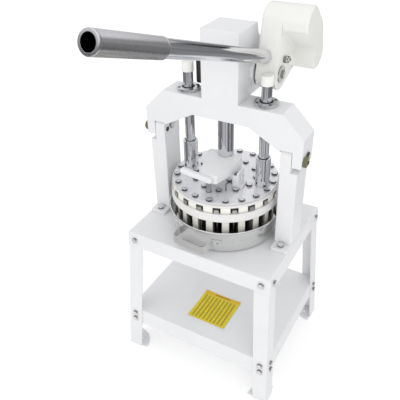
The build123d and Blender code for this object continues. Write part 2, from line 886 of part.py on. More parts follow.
# Lever: hub, arm and counterweight in one casting, with a socket for the handle
rise = math.radians(handle_rise)
handle_dir = Vector(0, -math.cos(rise), math.sin(rise))
handle_foot = Vector(
    lever_left + handle_inset,
    pinion_y + handle_offset * math.sin(rise),
    pinion_z + handle_offset * math.cos(rise),
)
handle_tail_plane = Plane(handle_foot - handle_dir * handle_tail, x_dir=(1, 0, 0), z_dir=handle_dir)
cross_bolt_spots = []
for back in (cross_bolt_back, cross_bolt_back + cross_bolt_pitch):
    spot = handle_foot - handle_dir * back
    cross_bolt_spots.append((spot.Y, spot.Z))
weight_place = shaft_place + Vector(weight_y, weight_z)
weight_way = Vector(0, weight_half).rotate(Axis.Z, weight_lean)
weight_ends = [weight_place + weight_way, weight_place - weight_way]
notch_reach = 2 * weight_half + weight_waist
notch_rise = notch_reach * math.tan(math.radians(notch_slope))
notch_place = shaft_place + Vector(notch_from_shaft, notch_height)
notch_far = [(-notch_reach, notch_rise), (-notch_reach, -notch_reach), (0, -notch_reach)]
with BuildPart() as lever_arm:
    with BuildSketch(Plane.YZ.offset(lever_left)):
        with Locations(shaft_place):
            Circle(hub_radius)
        with Locations(weight_place):
            Circle(weight_waist)
        with Locations(*weight_ends):
            Circle(weight_end)
        make_hull()
    extrude(amount=lever_width)
    with BuildSketch(Plane.YZ.offset(lever_left)):
        with Locations(weight_place):
            Circle(weight_waist)
        with Locations(*weight_ends):
            Circle(weight_end)
        make_hull()
    extrude(amount=weight_length)
    fillet(lever_arm.faces().sort_by(Axis.X)[-1].edges(), weight_round)
    fillet(lever_arm.faces().sort_by(Axis.X)[0].edges(), weight_round)
    with BuildSketch(Plane.YZ.offset(lever_right)):
        with Locations(notch_place):
            notch = Polygon((0, 0), *notch_far, align=None)
        fillet(notch.vertices().sort_by_distance(notch_place)[0], notch_round)
    extrude(amount=weight_length, mode=Mode.SUBTRACT)
    notch_edges = lever_arm.edges().filter_by_position(Axis.X, lever_right, lever_right)
    notch_corner = Vector(lever_right, notch_place.X, notch_place.Y)
    fillet(notch_edges.sort_by_distance(notch_corner)[:3], notch_inner_round)
    with BuildSketch(Plane(handle_foot, x_dir=(1, 0, 0), z_dir=handle_dir)):
        Circle(socket_radius)
    extrude(amount=socket_length)
    with BuildSketch(handle_tail_plane):
        Circle(tube_radius + weld_gap)
    extrude(amount=handle_tail + handle_reach, mode=Mode.SUBTRACT)
    with BuildSketch(Plane.YZ.offset(lever_left)):
        with Locations(shaft_place):
            Circle(shaft_radius + weld_gap / 2)
            with Locations((0, shaft_radius)):
                Rectangle(key_width, 2 * (key_height - key_in_shaft + weld_gap))
        with Locations(*cross_bolt_spots):
            Circle(m10_radius + thread_clearance)
    extrude(amount=lever_width, mode=Mode.SUBTRACT)
save(lever_arm, "lever_arm")

with BuildPart() as handle_tube:
    with BuildSketch(handle_tail_plane):
        Circle(tube_radius)
        Circle(tube_bore, mode=Mode.SUBTRACT)
    extrude(amount=handle_tail + handle_reach)
    with BuildSketch(Plane.YZ.offset(lever_left)):
        with Locations(*cross_bolt_spots):
            Circle(m10_radius + hole_clearance)
    extrude(amount=lever_width, mode=Mode.SUBTRACT)
save(handle_tube, "handle_tube")

with BuildPart() as handle_grip:
    with BuildSketch(handle_tail_plane.offset(handle_tail + handle_reach - grip_length)):
        Circle(grip_radius)
        Circle(tube_radius + weld_gap, mode=Mode.SUBTRACT)
    extrude(amount=grip_length)
save(handle_grip, "handle_grip")

cross_bolt_planes = [Plane((lever_right, y, z), (0, 1, 0), (1, 0, 0)) for y, z in cross_bolt_spots]
with BuildPart() as handle_cross_bolts:
    add(hexagons(cross_bolt_planes, m10_flats, m10_nut))
    with BuildSketch(Plane.YZ.offset(lever_left + cross_bolt_blind)):
        with Locations(*cross_bolt_spots):
            Circle(m10_radius)
    extrude(amount=lever_width - cross_bolt_blind)
    with BuildSketch(Plane.YZ.offset(lever_right + m10_nut)):
        with Locations(*cross_bolt_spots):
            Circle(cross_bolt_stub_radius)
    extrude(amount=cross_bolt_stub)
save(handle_cross_bolts, "handle_cross_bolts")

shaft_end = (shaft_right_end + shaft_washer_thick, pinion_y, pinion_z)
with BuildPart() as shaft_end_bolt:
    with BuildSketch(Plane.YZ.offset(shaft_right_end)):
        with Locations(shaft_place):
            Circle(shaft_washer_radius)
    extrude(amount=shaft_washer_thick)
    add(hexagons([Plane(shaft_end, x_dir=(0, 1, 0), z_dir=(1, 0, 0))], m12_flats, m12_head))
    with BuildSketch(Plane.YZ.offset(shaft_right_end)):
        with Locations(shaft_place):
            Circle(m12_radius)
    extrude(amount=-shaft_bolt_length)
save(shaft_end_bolt, "shaft_end_bolt")

# Ram with the rack cut into its back
rack_tip_y = rack_pitch_y + module
rack_root_y = rack_pitch_y - dedendum
lowest_space = -math.ceil((ram_lift + rack_mesh_length) / tooth_pitch)
highest_space = math.ceil((ram_drop + rack_mesh_length) / tooth_pitch)
tip_half = tooth_pitch / 4 + module * math.tan(pressure_angle)
root_half = tooth_pitch / 4 - dedendum * math.tan(pressure_angle)
rack_low = pinion_z + lowest_space * tooth_pitch - tooth_pitch / 2
with BuildPart() as ram:
    with BuildSketch(Plane.XY.offset(yoke_low)):
        Circle(ram_radius)
    extrude(amount=ram_top - yoke_low)
    with BuildSketch(Plane.YZ):
        with Locations((rack_tip_y, ram_top)):
            Rectangle(ram_radius, ram_top - rack_low, align=(Align.MIN, Align.MAX))
        for space in range(lowest_space, highest_space + 1):
            middle = pinion_z + space * tooth_pitch
            with BuildLine():
                Polyline(
                    (rack_tip_y, middle - tip_half),
                    (rack_root_y, middle - root_half),
                    (rack_root_y, middle + root_half),
                    (rack_tip_y, middle + tip_half),
                    close=True,
                )
            make_face()
    extrude(amount=ram_radius, both=True, mode=Mode.SUBTRACT)
save(ram, "ram")

# Yoke on the ram's foot
latch_pin_z = yoke_low + latch_pin_rise
with BuildPart() as yoke:
    with BuildSketch(Plane.XY.offset(yoke_low)):
        with BuildLine():
            Polyline(
                (0, yoke_rear),
                (yoke_half, yoke_rear),
                (yoke_half, yoke_shoulder_y),
                (yoke_half_front, yoke_front),
                (0, yoke_front),
            )
            mirror(about=Plane.YZ)
        outline = make_face()
        rows = outline.vertices().group_by(Axis.Y)
        fillet(rows[-1] + rows[0], yoke_round)
    extrude(amount=yoke_height)
    fillet(yoke.faces().sort_by(Axis.Z)[-1].edges(), yoke_top_round)
    with BuildSketch(Plane.YZ):
        with BuildLine():
            Polyline(
                (yoke_shoulder_y, yoke_low + yoke_height),
                (yoke_front, yoke_low + yoke_front_height),
                (yoke_front, yoke_low + yoke_height),
                close=True,
            )
        make_face()
    extrude(amount=yoke_half, both=True, mode=Mode.SUBTRACT)
    with BuildSketch(Plane.XY.offset(yoke_low)):
        Circle(ram_radius + yoke_wall)
    extrude(amount=yoke_front_height)
    with BuildSketch(Plane.XY.offset(yoke_low)):
        Circle(ram_radius + weld_gap / 2)
    extrude(amount=yoke_height, mode=Mode.SUBTRACT)
    with BuildSketch(Plane.XZ.offset(-yoke_front)):
        with Locations((latch_pin_x, latch_pin_z)):
            Circle(latch_pin_radius + running_fit)
    extrude(amount=-latch_pin_length, mode=Mode.SUBTRACT)
save(yoke, "yoke")

post_places = [(0, front_post_y), (-side_post_x, 0), (side_post_x, 0)]
with BuildPart() as yoke_posts:
    with BuildSketch(Plane.XY.offset(blade_top)):
        with Locations(*post_places):
            Circle(post_radius)
    extrude(amount=yoke_low - blade_top)
save(yoke_posts, "yoke_posts")

rod_step_z = backing_low + press_travel + rod_step_room
with BuildPart() as guide_rods:
    with BuildSketch(Plane.XY.offset(blade_top)):
        with Locations(*rod_places):
            Circle(rod_foot_radius)
    extrude(amount=rod_step_z - blade_top)
    with BuildSketch(Plane.XY.offset(rod_step_z)):
        with Locations(*rod_places):
            Circle(rod_radius)
    extrude(amount=rod_top - rod_step_z)
save(guide_rods, "guide_rods")

with BuildPart() as rod_caps:
    with BuildSketch(Plane.XY.offset(cap_low)):
        with Locations(*rod_places):
            Circle(cap_radius)
    extrude(amount=cap_height)
    fillet(rod_caps.faces().group_by(Axis.Z)[-1].edges(), cap_round)
    with BuildSketch(Plane.XY.offset(cap_low)):
        with Locations(*rod_places):
            Circle(rod_radius + weld_gap)
    extrude(amount=cap_socket, mode=Mode.SUBTRACT)
save(rod_caps, "rod_caps")

# Cutter: ring, blade clips and blades
with BuildPart() as cutter_ring:
    with BuildSketch(Plane.XY.offset(cutter_ring_top)):
        Circle(cutter_ring_outer)
        Circle(cutter_ring_inner, mode=Mode.SUBTRACT)
    extrude(amount=-cutter_ring_height)
    fillet(cutter_ring.edges().filter_by(GeomType.CIRCLE), nylon_round)
save(cutter_ring, "cutter_ring")

with BuildPart() as blade_clips:
    with BuildSketch(Plane.XY.offset(cutter_ring_top)):
        with PolarLocations((cutter_ring_inner + cutter_ring_outer) / 2, outer_count):
            Rectangle(clip_depth, clip_width)
    extrude(amount=clip_height)
save(blade_clips, "blade_clips")


def radial_blades(inner, outer, count):
    """Evenly spaced upright blades between two radii."""
    with BuildPart() as blades:
        with BuildSketch(Plane.XY.offset(table_z + blade_edge)):
            with PolarLocations((inner + outer) / 2, count):
                Rectangle(outer - inner, blade_thick)
        extrude(amount=blade_height)
    return blades


# Circular blades about the ram's axis
with BuildPart() as ring_blades:
    with BuildSketch(Plane.XY.offset(table_z + blade_edge)):
        for radius in (large_ring_radius, small_ring_radius):
            with BuildSketch(mode=Mode.PRIVATE) as band:
                Circle(radius + blade_thick / 2)
                Circle(radius - blade_thick / 2, mode=Mode.SUBTRACT)
            add(band.sketch)
    extrude(amount=blade_height)
save(ring_blades, "ring_blades")

blade_seat = blade_thick / 2 + weld_gap
save(radial_blades(large_ring_radius + blade_seat, cutter_ring_inner - weld_gap, outer_count), "outer_blades")
save(
    radial_blades(small_ring_radius + blade_seat, large_ring_radius - blade_seat, middle_count),
    "middle_blades",
)
save(radial_blades(0, small_ring_radius - blade_seat, inner_count), "inner_blades")


def wedge(inner, outer, count, half_gap, low):
    """Ring of blocks up to the backing plate, with sides parallel to the blades between them."""

    def corner(radius, side):
        angle = math.pi / count - math.asin(half_gap / radius)
        return (radius * math.cos(angle), side * radius * math.sin(angle))

    with BuildPart() as blocks:
        with BuildSketch(Plane.XY.offset(low)):
            with BuildSketch(mode=Mode.PRIVATE) as block:
                with BuildLine():
                    ThreePointArc(corner(outer, -1), (outer, 0), corner(outer, 1))
                    Line(corner(outer, 1), corner(inner, 1))
                    ThreePointArc(corner(inner, 1), (inner, 0), corner(inner, -1))
                    Line(corner(inner, -1), corner(outer, -1))
                make_face()
            with PolarLocations(0, count, start_angle=180 / count):
                add(block.sketch)
        extrude(amount=backing_low - low)
    return blocks.part


def finger_ring(inner, outer, count):
    """Ring of fingers that reach down to the blades' edges."""
    return wedge(inner, outer, count, finger_half_gap, finger_low)


def tapped_holes(circle, count):
    """Threads for the bolts that hold a ring of fingers to the press plate."""
    with BuildPart() as holes:
        with BuildSketch(Plane.XY.offset(backing_low)):
            with PolarLocations(circle, count, start_angle=180 / count):
                Circle(m10_radius + thread_clearance)
        extrude(amount=-(press_bolt_length - backing_thick - press_plate_thick))
    return holes.part


# Pressing fingers: outer ring with heads, middle ring and centre
with BuildPart() as outer_fingers:
    add(finger_ring(finger_inner_radius, finger_outer_radius, outer_count))
    add(wedge(finger_head_inner, finger_head_outer, outer_count, notch_half, cutter_ring_top))
    add(tapped_holes(outer_bolt_circle, outer_count), mode=Mode.SUBTRACT)
save(outer_fingers, "outer_fingers")

with BuildPart() as middle_fingers:
    add(finger_ring(middle_finger_inner, middle_finger_outer, middle_count))
    add(tapped_holes(middle_bolt_circle, middle_count), mode=Mode.SUBTRACT)
save(middle_fingers, "middle_fingers")

with BuildPart() as inner_fingers:
    add(finger_ring(inner_finger_inner, inner_finger_outer, inner_count))
    add(tapped_holes(inner_bolt_circle, inner_count), mode=Mode.SUBTRACT)
save(inner_fingers, "inner_fingers")

bolt_rings = [
    (outer_bolt_circle, outer_count),
    (middle_bolt_circle, middle_count),
    (inner_bolt_circle, inner_count),
]


def press_disc(radius, low, thick):
    """Disc with the holes for the finger bolts, the guide rods and the yoke's posts."""
    with BuildPart() as disc:
        with BuildSketch(Plane.XY.offset(low)):
            Circle(radius)
            for circle, count in bolt_rings:
                with PolarLocations(circle, count, start_angle=180 / count):
                    Circle(m10_radius + hole_clearance, mode=Mode.SUBTRACT)
            with Locations(*rod_places):
                Circle(rod_radius + plate_hole_gap, mode=Mode.SUBTRACT)
            with Locations(*post_places):
                Circle(post_radius + plate_hole_gap, mode=Mode.SUBTRACT)
        extrude(amount=thick)
        fillet(disc.faces().sort_by(Axis.Z)[-1].outer_wire().edges(), nylon_round)
    return disc


save(press_disc(backing_radius, backing_low, backing_thick), "backing_plate")
save(press_disc(press_plate_radius, press_plate_low, press_plate_thick), "press_plate")

bolt_planes = []
for circle, count in bolt_rings:
    for place in PolarLocations(circle, count, start_angle=180 / count):
        bolt_planes.append(Plane(place).offset(press_plate_top))
with BuildPart() as press_bolts:
    add(hexagons(bolt_planes, m10_flats, m10_head))
    with BuildSketch(Plane.XY.offset(press_plate_top)):
        for circle, count in bolt_rings:
            with PolarLocations(circle, count, start_angle=180 / count):
                Circle(m10_radius)
    extrude(amount=-press_bolt_length)
save(press_bolts, "press_bolts")

with BuildPart() as guide_sleeves:
    with BuildSketch(Plane.XY.offset(press_plate_top)):
        with Locations(*rod_places):
            Circle(sleeve_radius)
            Circle(rod_radius + running_fit, mode=Mode.SUBTRACT)
    extrude(amount=sleeve_height)
    with BuildSketch(Plane.XY.offset(press_plate_top + sleeve_height)):
        with Locations(*rod_places):
            Circle(sleeve_recess_radius)
    extrude(amount=-sleeve_recess, mode=Mode.SUBTRACT)
save(guide_sleeves, "guide_sleeves")

# Catch bracket on the press plate and its wire hook
catch_mid_y = catch_front + catch_length / 2
with BuildPart() as catch_bracket:
    with BuildSketch(Plane.XZ.offset(-catch_front)):
        with BuildLine():
            Polyline(
                (catch_x, press_plate_top),
                (catch_x, press_plate_top + catch_height),
                (catch_x + catch_thick, press_plate_top + catch_height),
                (catch_x + catch_thick, press_plate_top + catch_thick),
                (catch_x + catch_foot, press_plate_top + catch_thick),
                (catch_x + catch_foot, press_plate_top),
                close=True,
            )
        make_face()
    extrude(amount=-catch_length)
    fillet(catch_bracket.edges().filter_by(Axis.Y).sort_by(Axis.Z)[2:], catch_round)
    with BuildSketch(Plane.XZ.offset(-catch_front)):
        with Locations((catch_x - catch_flange, press_plate_top)):
            Rectangle(catch_flange + catch_thick / 2, catch_flange_height, align=(Align.MIN, Align.MIN))
    extrude(amount=-catch_thick)
    with BuildSketch(Plane.YZ.offset(catch_x)):
        with Locations((catch_mid_y, press_plate_top + catch_height / 2 + catch_thick / 2)):
            SlotOverall(catch_slot_length, catch_slot_width, rotation=catch_slot_angle)
    extrude(amount=catch_thick, mode=Mode.SUBTRACT)
save(catch_bracket, "catch_bracket")

wire_x = catch_x - wire_from_catch
wire_y = catch_front - wire_ahead
with BuildPart() as catch_wire:
    with BuildLine() as wire_path:
        FilletPolyline(
            (wire_x, wire_y, press_plate_top),
            (wire_x, wire_y, press_plate_top + wire_rise),
            (wire_x + wire_crest_x, wire_y + wire_crest_y, press_plate_top + wire_crest_z),
            (wire_x + wire_crest_x, wire_y + wire_tip_y, press_plate_top + wire_tip_z),
            radius=wire_bend,
        )
    with BuildSketch(Plane.XY.offset(press_plate_top)):
        with Locations((wire_x, wire_y)):
            Circle(wire_radius)
    sweep(path=wire_path.wires()[0])
save(catch_wire, "catch_wire")

# Latch lever with its pivot pin in the yoke's front face
slope = math.radians(latch_slope)
latch_plane = Plane(
    (latch_pin_x, yoke_front - latch_gap, latch_pin_z),
    x_dir=(-math.cos(slope), 0, math.sin(slope)),
    z_dir=(0, -1, 0),
)
with BuildPart() as latch_lever:
    with BuildSketch(latch_plane):
        with Locations(((latch_length - latch_tail) / 2, 0)):
            SlotOverall(latch_length + latch_tail, latch_height)
    extrude(amount=latch_thick)
    fillet(latch_lever.faces().sort_by(Axis.Y)[0].edges(), latch_round)
    with BuildSketch(latch_plane):
        Circle(latch_pin_radius)
    extrude(amount=-(latch_pin_length - latch_gap))
save(latch_lever, "latch_lever")


def pan_outer(z):
    """Outer radius of the pan's wall at a height above the table."""
    return pan_base_radius + (pan_rim_radius - pan_base_radius) * z / pan_height


# Pan: pressed sheet with a rounded base corner and a rolled rim
with BuildPart() as pan:
    with BuildSketch(Plane.XZ) as pan_profile:
        with BuildLine():
            Polyline(
                (0, table_z),
                (pan_base_radius, table_z),
                (pan_rim_radius, table_z + pan_height),
                (pan_rim_radius - pan_wall, table_z + pan_height),
                (pan_base_radius - pan_wall, table_z + pan_floor),
                (0, table_z + pan_floor),
                close=True,
            )
        make_face()
        fillet(pan_profile.vertices().group_by(Axis.Y)[0].sort_by(Axis.X)[-1:], pan_corner)
        inner_corner = (pan_base_radius - pan_wall, table_z + pan_floor)
        fillet(pan_profile.vertices().sort_by_distance(inner_corner)[0], pan_corner - pan_wall)
        with Locations((pan_rim_radius, table_z + pan_height - rim_bead)):
            Circle(rim_bead)
    revolve(axis=Axis.Z)
save(pan, "pan")


def pan_handle(azimuth):
    """Strap handle: two tabs that lie on the pan's wall and a bar standing out between them."""
    low = pan_handle_low
    high = pan_handle_low + pan_handle_height
    turned = Plane.XY.rotated((0, 0, azimuth))
    tab_start = pan_handle_span - pan_tab_span
    join_angle = math.radians(tab_start + pan_handle_lap)
    join_radius = pan_outer(high) + weld_gap + pan_handle_thick / 2
    with BuildPart() as strap:
        for start in (tab_start, -pan_handle_span):
            with BuildSketch(Plane.XZ.rotated((0, 0, azimuth + start))):
                with BuildLine():
                    Polyline(
                        (pan_outer(low) + weld_gap, table_z + low),
                        (pan_outer(high) + weld_gap, table_z + high),
                        (pan_outer(high) + weld_gap + pan_handle_thick, table_z + high),
                        (pan_outer(low) + weld_gap + pan_handle_thick, table_z + low),
                        close=True,
                    )
                make_face()
            revolve(axis=Axis.Z, revolution_arc=pan_tab_span)
        with BuildSketch(turned.offset(table_z + low)):
            with BuildLine():
                FilletPolyline(
                    (join_radius * math.cos(join_angle), -join_radius * math.sin(join_angle)),
                    (pan_handle_reach, -pan_handle_half),
                    (pan_handle_reach, pan_handle_half),
                    (join_radius * math.cos(join_angle), join_radius * math.sin(join_angle)),
                    radius=pan_handle_bend,
                )
                offset(amount=pan_handle_thick / 2, kind=Kind.ARC)
            make_face()
        extrude(amount=pan_handle_height)
    return strap.part


with BuildPart() as pan_handles:
    add(pan_handle(pan_handle_azimuth))
    add(pan_handle(pan_handle_azimuth + 180))
save(pan_handles, "pan_handles")

# Rivets through the tabs
rivet_z = pan_handle_low + pan_handle_height / 2
wall_slope = math.atan2(pan_rim_radius - pan_base_radius, pan_height)
rivet_planes = []
for azimuth in (pan_handle_azimuth, pan_handle_azimuth + 180):
    for side in (-1, 1):
        angle = math.radians(azimuth + side * (pan_handle_span - rivet_from_end))
        outward = Vector(
            math.cos(angle) * math.cos(wall_slope),
            math.sin(angle) * math.cos(wall_slope),
            -math.sin(wall_slope),
        )
        face_radius = pan_outer(rivet_z) + weld_gap + pan_handle_thick
        face = Vector(face_radius * math.cos(angle), face_radius * math.sin(angle), table_z + rivet_z)
        rivet_planes.append(Plane(face, z_dir=outward))
with BuildPart() as pan_rivets:
    with BuildSketch(*rivet_planes):
        Circle(rivet_head_radius)
    extrude(amount=rivet_head)
save(pan_rivets, "pan_rivets")
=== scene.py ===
"""Looks of a hand-lever dough divider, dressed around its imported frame.

Lengths are in metres: X runs right, Y to the rear and Z up.
"""

import logging
import math
from dataclasses import dataclass, field
from enum import Enum
from functools import cache
from typing import Any

import bmesh
import bpy
from mathutils import Matrix, Vector


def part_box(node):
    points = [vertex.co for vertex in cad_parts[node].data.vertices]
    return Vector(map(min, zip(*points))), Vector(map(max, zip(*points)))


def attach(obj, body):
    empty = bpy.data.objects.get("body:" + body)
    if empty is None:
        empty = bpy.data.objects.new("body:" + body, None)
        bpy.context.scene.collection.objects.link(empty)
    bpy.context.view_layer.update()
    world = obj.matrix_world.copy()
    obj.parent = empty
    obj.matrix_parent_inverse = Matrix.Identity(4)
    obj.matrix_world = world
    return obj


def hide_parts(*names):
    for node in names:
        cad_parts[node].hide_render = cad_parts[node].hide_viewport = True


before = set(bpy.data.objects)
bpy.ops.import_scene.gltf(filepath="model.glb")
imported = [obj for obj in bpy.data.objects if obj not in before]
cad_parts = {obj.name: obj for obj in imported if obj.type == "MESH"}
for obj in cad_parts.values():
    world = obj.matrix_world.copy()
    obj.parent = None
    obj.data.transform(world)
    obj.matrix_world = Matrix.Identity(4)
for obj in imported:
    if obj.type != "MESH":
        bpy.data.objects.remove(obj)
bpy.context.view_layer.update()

log = logging.getLogger("dough_divider")

Socket = bpy.types.NodeSocket
Pair = tuple[float, float]
Triple = tuple[float, float, float]
Stops = tuple[Pair, ...]

SMOOTH_ANGLE = math.radians(32.0)
HANDLE_RISE = math.radians(19.0)
SHAFT_PLACE = (0.065, 1.019)
ROUND_STEPS = 24
DOME_STEPS = 14
HEAD_BEVEL = 0.12
HEAD_BEVEL_STEPS = 2
SOCKET_DEPTH = 0.6
SAME_PLACE = 1e-6
ON_SURFACE = 1e-5
FLOAT = "NodeSocketFloat"
VECTOR = "NodeSocketVector"
PURE_WHITE = (1.0, 1.0, 1.0, 1.0)
UP = Vector((0.0, 0.0, 1.0))


class Marks(Enum):
    """Which way polishing or brushing marks run over a metal surface."""

    AROUND = "around the ram's axis"
    UPRIGHT = "up and down"
    ACROSS = "left to right"
    HANDLE = "along the lever's handle"


class Graph:
    """Adds nodes to one node tree and joins their sockets."""

    spacing = 180.0

    def __init__(self, tree: bpy.types.NodeTree) -> None:
        """Start on an empty tree.

        Args:
            tree: the node tree to fill.
        """
        self.tree = tree
        self.column = 0

    def fill(self, node: bpy.types.Node, inputs: dict[Any, Any]) -> None:
        """Set a node's inputs.

        Args:
            node: the node.
            inputs: a value or a socket to join, by input name or number.
        """
        for name, value in inputs.items():
            if isinstance(value, Socket):
                self.tree.links.new(value, node.inputs[name])
            else:
                node.inputs[name].default_value = value

    def add(self, kind: str, inputs: dict[Any, Any] | None = None, **settings: Any) -> bpy.types.Node:
        """Add one node.

        Args:
            kind: Blender's name of the node type.
            inputs: a value or a socket to join, by input name or number.
            settings: attributes of the node itself.
        Returns:
            The new node.
        """
        node = self.tree.nodes.new(kind)
        self.column += 1
        node.location = (self.spacing * self.column, 0.0)
        for name, value in settings.items():
            setattr(node, name, value)
        self.fill(node, inputs or {})
        return node

    def math(self, operation: str, first: Any, second: Any = 0.0, clamp: bool = False) -> Socket:
        """Add a Math node.

        Args:
            operation: Blender's name of the operation.
            first: value or socket.
            second: value or socket.
            clamp: keep the result between 0 and 1.
        Returns:
            The node's output socket.
        """
        inputs = {0: first, 1: second}
        return self.add("ShaderNodeMath", inputs, operation=operation, use_clamp=clamp).outputs[0]

    def times(self, first: Any, second: Any) -> Socket:
        """Product of two values or sockets."""
        return self.math("MULTIPLY", first, second)

    def mix(self, amount: Any, first: Any, second: Any) -> Socket:
        """Mix two colours.

        Args:
            amount: share of the second colour, a value or socket.
            first: colour or socket.
            second: colour or socket.
        Returns:
            The mixed colour's socket.
        """
        node = self.add("ShaderNodeMix", data_type="RGBA")
        self.fill(node, {0: amount, 6: first, 7: second})
        return node.outputs[2]

    def span(self, value: Socket, low: float, high: float) -> Socket:
        """Map 0 to 1 onto another range.

        Args:
            value: socket to map.
            low: result at 0.
            high: result at 1.
        Returns:
            The mapped socket.
        """
        return self.add("ShaderNodeMapRange", {0: value, 3: low, 4: high}).outputs[0]

    def share(self, value: Socket, begins: float, full: float) -> Socket:
        """Map a range of a value onto 0 to 1.

        Args:
            value: socket to map.
            begins: where the result is 0.
            full: where the result is 1.
        Returns:
            The mapped socket.
        """
        return self.add("ShaderNodeMapRange", {0: value, 1: begins, 2: full}).outputs[0]

    def noise(self, place: Socket, scale: Any, detail: float) -> Socket:
        """Add a Noise Texture node.

        Args:
            place: where it is read.
            scale: value or socket.
            detail: how many finer layers it has.
        Returns:
            The socket of its value.
        """
        inputs = {"Vector": place, "Scale": scale, "Detail": detail}
        return self.add("ShaderNodeTexNoise", inputs).outputs[0]


class Effects:
    """Shader node groups that several finishes share, each built once."""

    broad_detail = 2.0
    full_detail = 3.0
    ripple_detail = 1.0
    cloud_share = 0.7
    cloud_fineness = 7.0
    cloud_range = (-0.75, 1.75)
    brush_stretch = (0.012, 1.0, 1.0)
    brush_breadth = 0.09
    brush_range = (-0.6, 1.6)
    edge_samples = 4
    gap_samples = 6
    patch_scale = 60.0
    patch_range = (0.2, 1.6)

    @classmethod
    def start(cls, name: str, takes: dict[str, str], gives: dict[str, str]) -> tuple[Graph, Any, Any]:
        """Open a new group.

        Args:
            name: the group's name.
            takes: kind of each input socket.
            gives: kind of each output socket.
        Returns:
            The graph, its input node's sockets and its output node.
        """
        tree = bpy.data.node_groups.new(name, "ShaderNodeTree")
        for way, sockets in (("INPUT", takes), ("OUTPUT", gives)):
            for label, kind in sockets.items():
                tree.interface.new_socket(name=label, in_out=way, socket_type=kind)
        graph = Graph(tree)
        return graph, graph.add("NodeGroupInput").outputs, graph.add("NodeGroupOutput")

    @classmethod
    @cache
    def mottle(cls) -> bpy.types.NodeTree:
        """Uneven cloud of a hand-sprayed or handled surface, as a mask from 0 to 1.

        Returns:
            The node group.
        """
        takes = {"Vector": VECTOR, "Scale": FLOAT}
        g, (place, scale, *_), target = cls.start("mottle", takes, {"Mask": FLOAT})
        wide = g.noise(place, scale, cls.full_detail)
        fine = g.noise(place, g.times(scale, cls.cloud_fineness), cls.broad_detail)
        both = g.math("ADD", g.times(wide, cls.cloud_share), g.times(fine, 1.0 - cls.cloud_share))
        g.fill(target, {0: g.span(both, *cls.cloud_range)})
        return g.tree

    @classmethod
    @cache
    def peel(cls) -> bpy.types.NodeTree:
        """Fine ripple of sprayed paint or moulded nylon, as a height.

        Returns:
            The node group.
        """
        takes = {"Vector": VECTOR, "Scale": FLOAT}
        g, (place, scale, *_), target = cls.start("peel", takes, {"Height": FLOAT})
        g.fill(target, {0: g.noise(place, scale, cls.ripple_detail)})
        return g.tree

    @classmethod
    @cache
    def brushing(cls) -> bpy.types.NodeTree:
        """Marks of a brush or polishing belt, long in the first direction of the vector.

        Returns:
            The node group.
        """
        takes = {"Vector": VECTOR, "Density": FLOAT}
        g, (place, density, *_), target = cls.start("brushing", takes, {"Height": FLOAT, "Streak": FLOAT})
        inputs = {0: place, 1: cls.brush_stretch}
        stretched = g.add("ShaderNodeVectorMath", inputs, operation="MULTIPLY").outputs[0]
        fine = g.noise(stretched, density, cls.full_detail)
        broad = g.noise(stretched, g.times(density, cls.brush_breadth), cls.broad_detail)
        g.fill(target, {0: fine, 1: g.span(broad, *cls.brush_range)})
        return g.tree

    @classmethod
    @cache
    def soft_edge(cls) -> bpy.types.NodeTree:
        """Normal of a surface whose edges are rounded over by a small radius.

        Returns:
            The node group.
        """
        g, (radius, *_), target = cls.start("soft_edge", {"Radius": FLOAT}, {"Normal": VECTOR})
        g.fill(target, {0: g.add("ShaderNodeBevel", {"Radius": radius}, samples=cls.edge_samples).outputs[0]})
        return g.tree

    @classmethod
    @cache
    def gap_dust_and_shade(cls) -> bpy.types.NodeTree:
        """Mask of corners and gaps from ambient occlusion, where flour dust and oil settle and where painted
        shade is laid.

        Returns:
            The node group.
        """
        takes = {"Vector": VECTOR, "Distance": FLOAT}
        g, (place, reach, *_), target = cls.start("gap_dust_and_shade", takes, {"Mask": FLOAT})
        # Ambient occlusion: corners and gaps get painted shade along with settled dust.
        shut = g.add("ShaderNodeAmbientOcclusion", {"Distance": reach}, samples=cls.gap_samples)
        patches = g.noise(place, cls.patch_scale, cls.full_detail)
        closed = g.math("SUBTRACT", 1.0, shut.outputs["AO"])
        g.fill(target, {0: g.math("MULTIPLY", closed, g.span(patches, *cls.patch_range), clamp=True)})
        return g.tree


